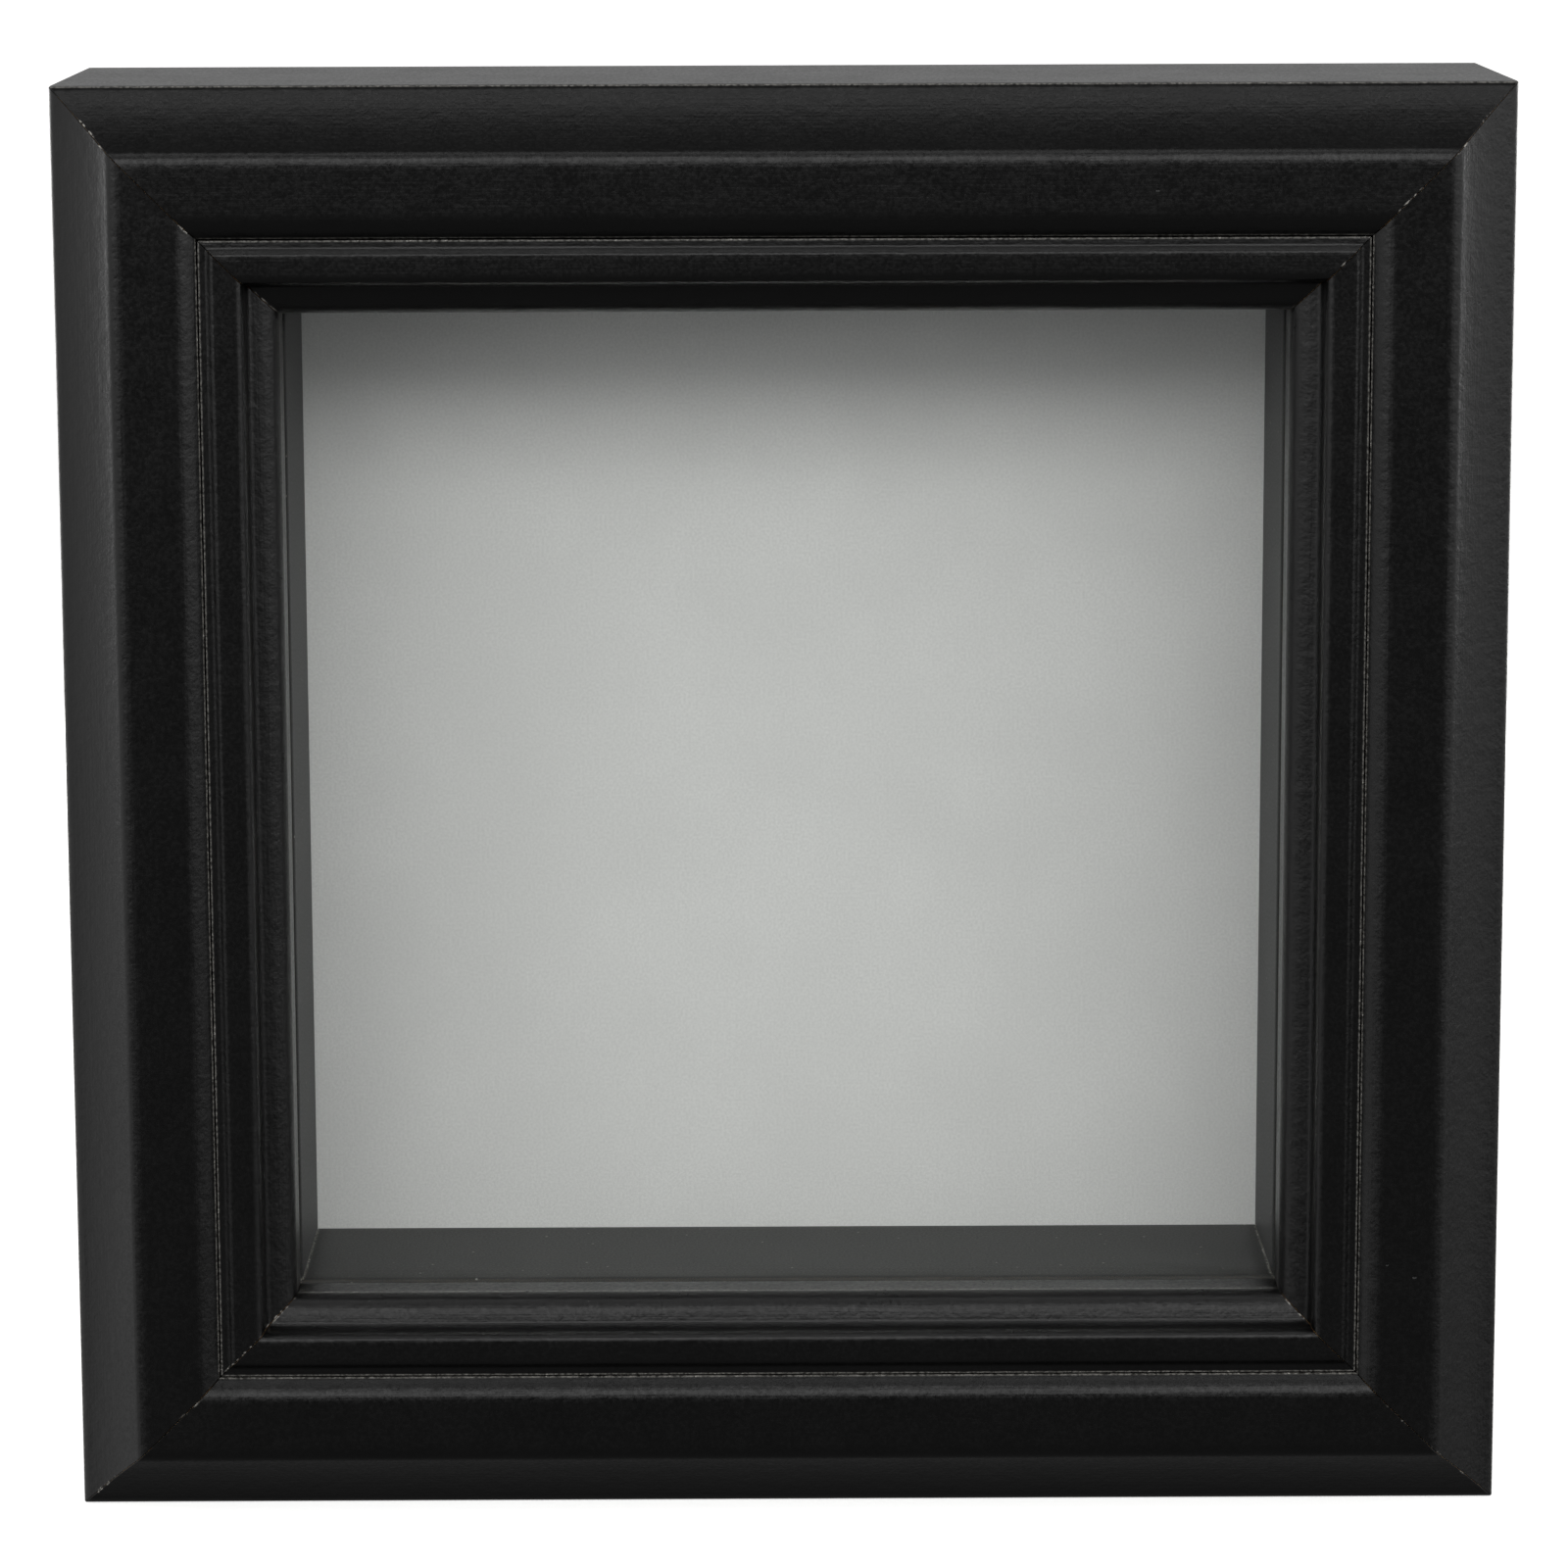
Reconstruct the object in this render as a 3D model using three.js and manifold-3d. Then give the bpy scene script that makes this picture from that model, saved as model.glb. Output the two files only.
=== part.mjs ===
// A square shadow box: a deep mitred picture-frame moulding with a separate inner bead, a pane of
// glass, four spacer walls around a display space, and a lined back panel held by turn buttons.
// Millimetres. X is the width, Y the depth from front to back, and Z is up. The box stands on the
// flat underside of its bottom rail, with the origin in the middle of its base.

import * as THREE from 'three';
import { mergeVertices } from 'three/addons/utils/BufferGeometryUtils.js';
import Module from 'manifold-3d';

const wasm = await Module();
wasm.setup();

// ---------------------------------------------------------------- driving dimensions

const boxSide = 286; // outer width and height of the square frame
const frameDepth = 70; // plane of the outer front edge to the back face of the rails
const gap = 0.3; // clearance between neighbouring pieces, and around nails and screws

// Front moulding. Run is measured inwards from the outer face, rise towards the viewer.
const mouldingWidth = 29.0; // outer face to the quirk beside the bead
const arris = 1.0; // rounding of the outer front edge
const ogeeRun = 11.8; // where the ogee meets the shoulder of the crest
const ogeeRise = 11.0;
const crestRise = 12.6; // highest part of the moulding
const crestStart = 15.6; // the crest is flat from here
const crestEnd = 24.0; // to here, and then falls to the quirk
const quirkRise = 9.8;
const rearChamfer = 1.2; // eased outer edge at the back

// Inner bead, from its outer arris to the lip at the sight edge
const beadWidth = 14.9;
const filletWidth = 1.2; // small flat beside the quirk
const filletRise = 10.0;
const swellWidth = 1.9; // the flat swells up to the bead's own crest over this width
const beadCrestRise = 10.9;
const beadCrestWidth = 3.4;
const noseWidth = 2.3; // the crest rolls over this width
const noseDrop = 2.7; // and drops this far, down to a riser
const coveWidth = 1.2; // the riser ends in a small cove
const coveRise = 5.6;
const ridgeWidth = 1.1; // from the cove to the shoulder of the lip's roll
const ridgeRise = 5.2;
const lipRise = 0.8; // the lip's front arris stands this far proud of the outer edge plane

// Rebates, cut from the back of the rails
const seatDepth = 6.5; // seat of the bead, behind the outer edge plane
const seatWidth = 10.8; // the seat runs this far in from the quirk, to the rebate wall
const ledgeWidth = 16.3; // ledge that carries the turn buttons

// What the rebate holds, from front to back
const plateClearance = 1.6; // rebate wall to the edge of the glass, lining and back panel
const glassThickness = 2;
const spacerDepth = 41; // depth of the display space
const spacerThickness = 4.4;
const spacerEase = 1.5; // rounding of the spacers' inner front edge
const liningThickness = 0.4;
const panelThickness = 3;

// Turn buttons
const buttonThickness = 1.2;
const buttonLength = 15; // pivot to the centre of the round tip
const buttonHeelRadius = 5;
const buttonTipRadius = 4;

// Screws
const screwRadius = 1.5;
const screwLength = 12; // under the head
const screwPoint = 3; // length of the pointed end
const panHeadRadius = 3.2;
const panHeadHeight = 1.9;
const sunkHeadRadius = 3;

// Strap hangers with D-rings
const hangerDrop = 80; // top of the frame down to the ring's bar
const strapWidth = 9;
const strapLength = 22; // ring's bar to the lower end of the strap
const strapThickness = 1.2;
const strapScrewDrop = 14; // ring's bar down to the screw
const ringWire = 1.25; // radius of the ring's wire
const ringHalfWidth = 7.8; // middle of the ring to the centre of its wire
const ringLength = 15; // bar to the far end of the bow, between wire centres
const ringCorner = 2.2; // bend between the bar and the bow

// V-nails across the mitres
const vNailLeg = 7;
const vNailThickness = 0.6;
const vNailDepth = 10;
const vNailInsets = [3.5, 11.5]; // apex, measured in from both outer faces

// Rubber bumpers on the bottom rail's back face
const bumperRadius = 6;
const bumperHeight = 5.2;
const bumperEase = 1.2;
const bumperFromCorner = 34; // outer face of the side rail to the bumper's centre

// ---------------------------------------------------------------- sizes that follow

const half = boxSide / 2;
const rebateInset = mouldingWidth + seatWidth;
const beadInset = mouldingWidth + gap;
const lipInset = beadInset + beadWidth;
const spacerInset = rebateInset + gap;
const beadBack = seatDepth - gap;
const glassFront = seatDepth;
const spacerFront = glassFront + glassThickness + gap;
const spacerBack = spacerFront + spacerDepth;
const liningFront = spacerBack + gap;
const panelFront = liningFront + liningThickness + gap;
const ledgeDepth = panelFront + panelThickness + gap;
const rearWall = rebateInset - ledgeWidth;
const plateSide = boxSide - 2 * (rebateInset + plateClearance);
const pivotInset = rebateInset - ledgeWidth / 2;
const buttonFront = ledgeDepth + gap;
const buttonBack = buttonFront + buttonThickness;
const boreRadius = screwRadius + gap;
const knuckleBore = ringWire + gap;
const knuckleRadius = knuckleBore + strapThickness;
const strapFront = frameDepth + gap;
const strapBack = strapFront + strapThickness;
const ringPlane = strapFront + knuckleRadius;
const backMost = ringPlane + knuckleRadius;
const mitreTrim = gap / Math.SQRT2; // taken off each end, so that two mitres stand `gap` apart
const hangerHeight = half - hangerDrop;
const hangerAcross = half - rearWall / 2;

// ---------------------------------------------------------------- materials

function paint(color, roughness) {
  return new THREE.MeshStandardMaterial({ color, roughness, metalness: 0 });
}

function metal(color, roughness) {
  return new THREE.MeshStandardMaterial({ color, roughness, metalness: 1 });
}

const finishes = {
  blackPaint: () => paint('#1b1b1b', 0.4),
  spacerPaint: () => paint('#262626', 0.55),
  glass: () => new THREE.MeshStandardMaterial({
    color: '#f4f7f6', roughness: 0.03, metalness: 0, transparent: true, opacity: 0.15,
  }),
  paper: () => paint('#cfcfcd', 0.9),
  hardboard: () => paint('#6b4a31', 0.8),
  zinc: () => metal('#b9bcc0', 0.35),
  rubber: () => paint('#2a2a2a', 0.85),
};

// ---------------------------------------------------------------- solids

function toSolid(geometry) {
  const bare = geometry.clone();
  bare.deleteAttribute('normal');
  bare.deleteAttribute('uv');
  const merged = mergeVertices(bare);
  return new wasm.Manifold(new wasm.Mesh({
    numProp: 3,
    vertProperties: merged.attributes.position.array,
    triVerts: new Uint32Array(merged.index.array),
  }));
}

function toGeometry(solid) {
  const mesh = solid.getMesh();
  const geometry = new THREE.BufferGeometry();
  geometry.setAttribute('position', new THREE.BufferAttribute(mesh.vertProperties, 3));
  geometry.setIndex(new THREE.BufferAttribute(mesh.triVerts, 1));
  geometry.computeVertexNormals();
  return geometry;
}

function cutAway(geometry, cutters) {
  let solid = toSolid(geometry);
  for (const cutter of cutters) {
    solid = solid.subtract(toSolid(cutter));
  }
  return toGeometry(solid);
}

// A strip with a mitre at both ends, lying along the top of the frame. The profile's x is the
// distance in from the outer face, and its y the depth behind the outer front edge.
function mitredStrip(profile, curveSegments) {
  const geometry = new THREE.ExtrudeGeometry(profile, {
    depth: 1, steps: 1, bevelEnabled: false, curveSegments,
  });
  const position = geometry.attributes.position;
  for (let i = 0; i < position.count; i += 1) {
    const reach = half - position.getX(i);
    const end = position.getZ(i) > 0.5 ? 1 : -1;
    position.setXYZ(i, end * (reach - mitreTrim), position.getY(i), reach);
  }
  return geometry;
}

// A flat plate: an outline in X and Z, from the depth `front` for the given thickness
function plate(outline, front, thickness, curveSegments = 8) {
  const geometry = new THREE.ExtrudeGeometry(outline, {
    depth: thickness, steps: 1, bevelEnabled: false, curveSegments,
  });
  geometry.rotateX(Math.PI / 2);
  geometry.translate(0, front + thickness, 0);
  return geometry;
}

// A straight hole or rod along Y
function rodAlongDepth(radius, front, back, x, z, sides = 16) {
  const geometry = new THREE.CylinderGeometry(radius, radius, back - front, sides);
  geometry.translate(x, (front + back) / 2, z);
  return geometry;
}

// ---------------------------------------------------------------- profiles

// Whole section of a rail: the moulded front, the bead's seat, the deep rebate for glass, spacers
// and panel, and the wider rear rebate whose ledge carries the turn buttons.
function railProfile() {
  const s = new THREE.Shape();
  s.moveTo(0, arris);
  s.quadraticCurveTo(0, 0, arris, -0.75 * arris);
  s.bezierCurveTo(
    arris + 0.3 * (ogeeRun - arris), -0.25 * ogeeRise,
    arris + 0.72 * (ogeeRun - arris), -0.63 * ogeeRise,
    ogeeRun, -ogeeRise,
  );
  s.quadraticCurveTo(ogeeRun + 0.25 * (crestStart - ogeeRun), -crestRise, crestStart, -crestRise);
  s.lineTo(crestEnd, -crestRise);
  s.quadraticCurveTo((crestEnd + mouldingWidth) / 2, -crestRise, mouldingWidth, -quirkRise);
  s.lineTo(mouldingWidth, seatDepth);
  s.lineTo(rebateInset, seatDepth);
  s.lineTo(rebateInset, ledgeDepth);
  s.lineTo(rearWall, ledgeDepth);
  s.lineTo(rearWall, frameDepth);
  s.lineTo(rearChamfer, frameDepth);
  s.lineTo(0, frameDepth - rearChamfer);
  s.closePath();
  return s;
}

// Section of the bead: a small flat, a swell to a flat crest, a round nose, a riser that ends in a
// small cove, and a second round that rolls over to the lip
function beadProfile() {
  const flatEnd = beadInset + filletWidth;
  const crestFrom = flatEnd + swellWidth;
  const crestTo = crestFrom + beadCrestWidth;
  const riser = crestTo + noseWidth;
  const coveEnd = riser + coveWidth;
  const ridge = coveEnd + ridgeWidth;
  const roll = lipInset - ridge;
  const s = new THREE.Shape();
  s.moveTo(beadInset, beadBack);
  s.lineTo(beadInset, -filletRise);
  s.lineTo(flatEnd, -filletRise);
  s.bezierCurveTo(
    flatEnd + 0.4 * swellWidth, -filletRise, flatEnd + 0.6 * swellWidth, -beadCrestRise,
    crestFrom, -beadCrestRise,
  );
  s.lineTo(crestTo, -beadCrestRise);
  s.quadraticCurveTo(riser, -beadCrestRise, riser, noseDrop - beadCrestRise);
  s.bezierCurveTo(
    riser, -0.8 * coveRise - 0.2 * beadCrestRise, riser + 0.25 * coveWidth, -coveRise - 0.2,
    coveEnd, -coveRise,
  );
  s.lineTo(ridge, -ridgeRise);
  s.bezierCurveTo(
    ridge + 0.5 * roll, 0.7 - ridgeRise, lipInset, 1.2 * lipRise - 0.8 * ridgeRise,
    lipInset, -lipRise,
  );
  s.lineTo(lipInset, beadBack);
  s.closePath();
  return s;
}

// Section of a spacer wall, with its inner front edge rounded
function spacerProfile() {
  const inner = spacerInset + spacerThickness;
  const s = new THREE.Shape();
  s.moveTo(spacerInset, spacerFront);
  s.lineTo(spacerInset, spacerBack);
  s.lineTo(inner, spacerBack);
  s.lineTo(inner, spacerFront + spacerEase);
  s.quadraticCurveTo(inner, spacerFront, inner - spacerEase, spacerFront);
  s.closePath();
  return s;
}

// ---------------------------------------------------------------- hardware

// A screw along Y, driven forwards from the back. Its head's bearing face is at y = 0.
function screwGeometry(headOutline) {
  const points = [
    new THREE.Vector2(0, -screwLength),
    new THREE.Vector2(screwRadius, screwPoint - screwLength),
    ...headOutline,
  ];
  return new THREE.LatheGeometry(points, 16);
}

function panScrew() {
  return screwGeometry([
    new THREE.Vector2(screwRadius, 0),
    new THREE.Vector2(panHeadRadius, 0),
    new THREE.Vector2(panHeadRadius, panHeadHeight / 2),
    new THREE.Vector2(0.7 * panHeadRadius, panHeadHeight),
    new THREE.Vector2(0, panHeadHeight),
  ]);
}

// The countersunk head lies in the strap: its outer face is level with the strap's
function sunkScrew() {
  const cone = sunkHeadRadius - screwRadius;
  return screwGeometry([
    new THREE.Vector2(screwRadius, -cone),
    new THREE.Vector2(sunkHeadRadius, 0),
    new THREE.Vector2(0, 0),
  ]);
}

// Outline of a turn button from its pivot towards +X: two rounds joined by straight sides
function buttonOutline() {
  const lean = Math.asin((buttonHeelRadius - buttonTipRadius) / buttonLength);
  const side = Math.PI / 2 - lean;
  const s = new THREE.Shape();
  s.absarc(0, 0, buttonHeelRadius, side, 2 * Math.PI - side, false);
  s.absarc(buttonLength, 0, buttonTipRadius, -side, side, false);
  s.closePath();
  const hole = new THREE.Path();
  hole.absarc(0, 0, boreRadius, 0, 2 * Math.PI, true);
  s.holes.push(hole);
  return s;
}

// A V-nail's section across the mitre of the top right corner: two legs that meet at the apex, the
// distance `inset` in from both outer faces. `grow` widens it all round for the slot.
function vNailOutline(inset, grow) {
  const outer = half - inset + grow;
  const inner = outer - vNailThickness - 2 * grow;
  const end = half - inset - vNailLeg - grow;
  const s = new THREE.Shape();
  s.moveTo(outer, outer);
  s.lineTo(end, outer);
  s.lineTo(end, inner);
  s.lineTo(inner, inner);
  s.lineTo(inner, end);
  s.lineTo(outer, end);
  s.closePath();
  return s;
}

function vNail(inset) {
  return plate(vNailOutline(inset, 0), frameDepth - gap - vNailDepth, vNailDepth);
}

function vNailSlot(inset) {
  return plate(vNailOutline(inset, gap), frameDepth - 2 * gap - vNailDepth, vNailDepth + 3 * gap);
}

// A strap folded round the ring's bar: a flat plate with a round lower end, a knuckle and a
// countersunk hole. The bar's axis is at x = 0, z = 0.
function strapGeometry() {
  const r = strapWidth / 2;
  const outline = new THREE.Shape();
  outline.moveTo(-r, 0);
  outline.lineTo(-r, r - strapLength);
  outline.absarc(0, r - strapLength, r, Math.PI, 2 * Math.PI, false);
  outline.lineTo(r, 0);
  outline.closePath();
  const knuckle = new THREE.CylinderGeometry(knuckleRadius, knuckleRadius, strapWidth, 24);
  knuckle.rotateZ(Math.PI / 2);
  knuckle.translate(0, ringPlane, 0);
  const bore = new THREE.CylinderGeometry(knuckleBore, knuckleBore, 2 * strapWidth, 24);
  bore.rotateZ(Math.PI / 2);
  bore.translate(0, ringPlane, 0);
  const body = toSolid(plate(outline, strapFront, strapThickness)).add(toSolid(knuckle));
  const mouth = sunkHeadRadius + gap;
  const sink = new THREE.LatheGeometry([
    new THREE.Vector2(0, strapFront - gap),
    new THREE.Vector2(mouth - (strapThickness + gap), strapFront - gap),
    new THREE.Vector2(mouth, strapBack),
    new THREE.Vector2(mouth, strapBack + gap),
    new THREE.Vector2(0, strapBack + gap),
  ], 16);
  sink.translate(0, 0, -strapScrewDrop);
  return toGeometry(body.subtract(toSolid(bore)).subtract(toSolid(sink)));
}

// A closed loop of round wire bent in the XZ plane: points go round the loop once
function wireLoop(points, radius, sides) {
  const count = points.length;
  const vertices = [];
  const faces = [];
  for (let i = 0; i < count; i += 1) {
    const before = points[(i + count - 1) % count];
    const after = points[(i + 1) % count];
    const along = new THREE.Vector2().subVectors(after, before).normalize();
    for (let k = 0; k < sides; k += 1) {
      const angle = (2 * Math.PI * k) / sides;
      const out = radius * Math.cos(angle);
      vertices.push(points[i].x + out * along.y, radius * Math.sin(angle), points[i].y - out * along.x);
    }
  }
  for (let i = 0; i < count; i += 1) {
    const j = (i + 1) % count;
    for (let k = 0; k < sides; k += 1) {
      const m = (k + 1) % sides;
      faces.push(i * sides + k, j * sides + m, j * sides + k);
      faces.push(i * sides + k, i * sides + m, j * sides + m);
    }
  }
  const geometry = new THREE.BufferGeometry();
  geometry.setAttribute('position', new THREE.Float32BufferAttribute(vertices, 3));
  geometry.setIndex(faces);
  geometry.computeVertexNormals();
  return geometry;
}

// The D-ring hangs from its bar: the bar on the X axis, and the bow below it
function ringGeometry() {
  const w = ringHalfWidth;
  const c = ringCorner;
  const path = new THREE.Path();
  path.moveTo(-w + c, 0);
  path.lineTo(w - c, 0);
  path.absarc(w - c, -c, c, Math.PI / 2, 0, true);
  path.lineTo(w, w - ringLength);
  path.absarc(0, w - ringLength, w, 0, -Math.PI, true);
  path.lineTo(-w, -c);
  path.absarc(-w + c, -c, c, Math.PI, Math.PI / 2, true);
  const points = path.getSpacedPoints(40);
  points.pop();
  const geometry = wireLoop(points, ringWire, 8);
  geometry.translate(0, ringPlane, 0);
  return geometry;
}

function bumperGeometry() {
  const front = frameDepth + gap;
  const back = front + bumperHeight;
  const bend = bumperRadius - bumperEase;
  return new THREE.LatheGeometry([
    new THREE.Vector2(0, front),
    new THREE.Vector2(bumperRadius, front),
    new THREE.Vector2(bumperRadius, back - bumperEase),
    new THREE.Vector2(bend + 0.7 * bumperEase, back - 0.3 * bumperEase),
    new THREE.Vector2(bend, back),
    new THREE.Vector2(0, back),
  ], 24);
}

// ---------------------------------------------------------------- assembly

const shadowBox = new THREE.Group();
shadowBox.name = 'shadow_box';
shadowBox.position.set(0, (crestRise - backMost) / 2, half);

function addPiece(name, geometry, finish) {
  const mesh = new THREE.Mesh(geometry, finishes[finish]());
  mesh.name = name;
  shadowBox.add(mesh);
  return mesh;
}

const hangers = [
  { side: 'left', x: -hangerAcross },
  { side: 'right', x: hangerAcross },
];

// Cutters for the rails, all in place: V-nail slots at every corner and pilot holes
const cornerSlots = [0, 1, 2, 3].flatMap((turn) => vNailInsets.map(
  (inset) => vNailSlot(inset).rotateY((turn * Math.PI) / 2),
));
const pilotDepth = screwLength + gap;
const buttonPilot = rodAlongDepth(boreRadius, buttonBack - pilotDepth, buttonBack, 0, half - pivotInset);
const hangerPilots = hangers.map(({ x }) => rodAlongDepth(
  boreRadius, strapBack - pilotDepth, strapBack, x, hangerHeight - strapScrewDrop,
));

// The four sides: rail, bead, spacer, turn button and its screw, turned a quarter at a time
const sides = ['top', 'right', 'bottom', 'left'];
sides.forEach((side, turn) => {
  const angle = (turn * Math.PI) / 2;
  const rail = mitredStrip(railProfile(), 5).rotateY(angle);
  const cutters = [buttonPilot.clone().rotateY(angle), ...cornerSlots, ...hangerPilots];
  addPiece(`rail_${side}`, cutAway(rail, cutters), 'blackPaint');
  addPiece(`bead_${side}`, mitredStrip(beadProfile(), 5).rotateY(angle), 'blackPaint');
  addPiece(`spacer_${side}`, mitredStrip(spacerProfile(), 4).rotateY(angle), 'spacerPaint');

  const quarter = new THREE.Group();
  quarter.rotation.y = angle;
  shadowBox.add(quarter);
  const buttonPlate = plate(buttonOutline(), buttonFront, buttonThickness);
  const button = addPiece(`turn_button_${side}`, buttonPlate, 'zinc');
  button.position.z = half - pivotInset;
  const screw = addPiece(`button_screw_${side}`, panScrew(), 'zinc');
  screw.position.set(0, buttonBack + gap, half - pivotInset);
  quarter.add(button, screw);
});

// Two V-nails across each mitre, from the top right corner round
const corners = ['top_right', 'bottom_right', 'bottom_left', 'top_left'];
corners.forEach((corner, turn) => {
  vNailInsets.forEach((inset, i) => {
    const place = i === 0 ? 'outer' : 'inner';
    addPiece(`v_nail_${corner}_${place}`, vNail(inset), 'zinc').rotation.y = (turn * Math.PI) / 2;
  });
});

// Glass, lining and back panel are squares of one size
function squarePlate(thickness, front) {
  const geometry = new THREE.BoxGeometry(plateSide, thickness, plateSide);
  geometry.translate(0, front + thickness / 2, 0);
  return geometry;
}

addPiece('glass', squarePlate(glassThickness, glassFront), 'glass');
addPiece('lining', squarePlate(liningThickness, liningFront), 'paper');
addPiece('back_panel', squarePlate(panelThickness, panelFront), 'hardboard');

// Hangers on the side rails, and bumpers on the bottom rail
for (const { side, x } of hangers) {
  addPiece(`hanger_strap_${side}`, strapGeometry(), 'zinc').position.set(x, 0, hangerHeight);
  addPiece(`hanger_ring_${side}`, ringGeometry(), 'zinc').position.set(x, 0, hangerHeight);
  const screw = addPiece(`hanger_screw_${side}`, sunkScrew(), 'zinc');
  screw.position.set(x, strapBack, hangerHeight - strapScrewDrop);
  const bumperX = Math.sign(x) * (half - bumperFromCorner);
  addPiece(`bumper_${side}`, bumperGeometry(), 'rubber').position.set(bumperX, 0, rearWall / 2 - half);
}

export default shadowBox;
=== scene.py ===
# %% [markdown]
# # A square shadow box in satin black
#
# A deep picture frame that works as a small display case. Four lengths of moulding are mitred together, a
# narrower bead inside them holds the glass, four black walls make the space behind it, and a hardboard back
# with a pale paper lining closes it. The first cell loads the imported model, whose boxes place every piece.

# %% Load the frame
import math
from functools import partial

import bmesh
import bpy
from mathutils import Matrix, Vector, noise


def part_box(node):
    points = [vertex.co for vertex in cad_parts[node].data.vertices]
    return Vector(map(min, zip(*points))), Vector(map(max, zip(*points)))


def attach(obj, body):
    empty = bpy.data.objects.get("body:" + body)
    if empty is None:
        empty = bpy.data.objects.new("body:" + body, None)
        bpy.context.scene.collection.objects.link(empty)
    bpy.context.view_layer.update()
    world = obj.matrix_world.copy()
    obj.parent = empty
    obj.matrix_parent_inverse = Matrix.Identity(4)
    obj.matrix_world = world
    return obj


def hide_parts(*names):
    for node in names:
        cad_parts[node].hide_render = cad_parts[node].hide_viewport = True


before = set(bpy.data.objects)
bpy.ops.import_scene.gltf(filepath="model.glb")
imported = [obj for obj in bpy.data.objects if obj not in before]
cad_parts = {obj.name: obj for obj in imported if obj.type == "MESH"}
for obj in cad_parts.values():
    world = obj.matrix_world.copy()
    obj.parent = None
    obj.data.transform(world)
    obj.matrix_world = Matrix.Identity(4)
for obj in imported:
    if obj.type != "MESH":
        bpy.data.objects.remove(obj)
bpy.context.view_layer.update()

# %% [markdown]
# ## Measures
#
# A frame maker measures a moulding's section in millimetres: how far in from the outer face, and how far in
# front of or behind the outer edge. The same two numbers are used here, and one function turns them into a
# place on any of the four sides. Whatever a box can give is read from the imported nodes.

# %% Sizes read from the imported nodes, and the section's own sizes
MM = 0.001
TURN = math.pi / 2
SIDES = ("top", "right", "bottom", "left")

rail_low, rail_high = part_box("rail_top")
bead_low, bead_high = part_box("bead_top")
wall_low, wall_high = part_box("spacer_top")
HALF = rail_high.z / MM / 2
MIDDLE_Z = rail_high.z / 2

CREST_RISE = 12.6
EDGE_Y = rail_low.y + CREST_RISE * MM


def depth_of(y):
    """Millimetres behind the plane of the outer front edge, for a Y in metres."""
    return (y - EDGE_Y) / MM


def inset_of(z):
    """Millimetres in from the top rail's outer face, for a Z in metres."""
    return (rail_high.z - z) / MM


FRAME_DEPTH = depth_of(rail_high.y)
REBATE_INSET = inset_of(rail_low.z)
BEAD_INSET = inset_of(bead_high.z)
LIP_INSET = inset_of(bead_low.z)
BEAD_BACK = depth_of(bead_high.y)
WALL_INSET = inset_of(wall_high.z)
WALL_INNER = inset_of(wall_low.z)
WALL_FRONT = depth_of(wall_low.y)
WALL_BACK = depth_of(wall_high.y)
SEAT_DEPTH = depth_of(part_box("glass")[0].y)
PANEL_PLAY = 0.3
LEDGE_DEPTH = depth_of(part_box("back_panel")[1].y) + PANEL_PLAY
MOULDING_WIDTH = 29.0
REAR_WALL = 23.5
print(f"side {2 * HALF:.1f}, depth {FRAME_DEPTH:.1f}, lip at {LIP_INSET:.1f}, walls at {WALL_INNER:.1f} mm")


def place(turn, along, depth, reach):
    """A point of one side in metres: along its length, behind the edge plane, and out from the middle."""
    c, s = math.cos(turn * TURN), math.sin(turn * TURN)
    return Vector((
        (along * c + reach * s) * MM,
        EDGE_Y + depth * MM,
        MIDDLE_Z + (reach * c - along * s) * MM,
    ))


# %% [markdown]
# ## Camera
#
# The box is seen from a little above and almost square on, with a long lens, so that the rails hardly taper
# and the top face shows as a thin strip. Distances are in sides of the frame, from the middle of its front.

# %% Camera
SIDE = 2 * HALF * MM
front_centre = Vector((0, EDGE_Y, MIDDLE_Z))
PITCH, YAW, ROLL = 0.17687, -0.00412, -0.00334
STANDPOINT = (-0.0177, -3.9175, 0.7167)
SENSOR_MM, LENS_MM = 36, 131.562
camera_data = bpy.data.cameras.new("camera")
camera_data.sensor_width = SENSOR_MM
camera_data.lens = LENS_MM
camera = bpy.data.objects.new("camera", camera_data)
bpy.context.scene.collection.objects.link(camera)
look = Matrix.Rotation(ROLL, 3, "Z") @ Matrix.Rotation(PITCH, 3, "X") @ Matrix.Rotation(YAW, 3, "Y")
right, down, ahead = (Vector((row[0], row[2], -row[1])) for row in look)
turned = Matrix((right, -down, -ahead)).transposed().to_4x4()
turned.translation = front_centre + Vector(STANDPOINT) * SIDE
camera.matrix_world = turned
bpy.context.scene.camera = camera
print("camera at", [round(v, 3) for v in camera.location], "lens", round(camera_data.lens, 1))

# %% [markdown]
# ## Light
#
# Satin black shows its surroundings more than its own colour. The box stands in a tent of cloth: the sheets
# at its sides are bright, the back is dimmer, and the ceiling, the ground and the opening at the front, where
# the camera looks in, are nearly dark. Slopes that face the sides turn grey, and faces square to the camera
# stay nearly black. The tent is drawn in the world, as a brightness for each direction, so that no sheet gets
# in the way of another view. Three soft boxes, above the front, overhead and behind, give it a direction.

# %% A colour from its hex value, and one node with its settings and links
def colour(hex_value):
    """An sRGB hex colour as linear red, green, blue and an alpha of 1."""
    channels = [int(hex_value[i:i + 2], 16) / 255 for i in (1, 3, 5)]
    linear = [c / 12.92 if c <= 0.04045 else ((c + 0.055) / 1.055) ** 2.4 for c in channels]
    return (*linear, 1.0)


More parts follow.
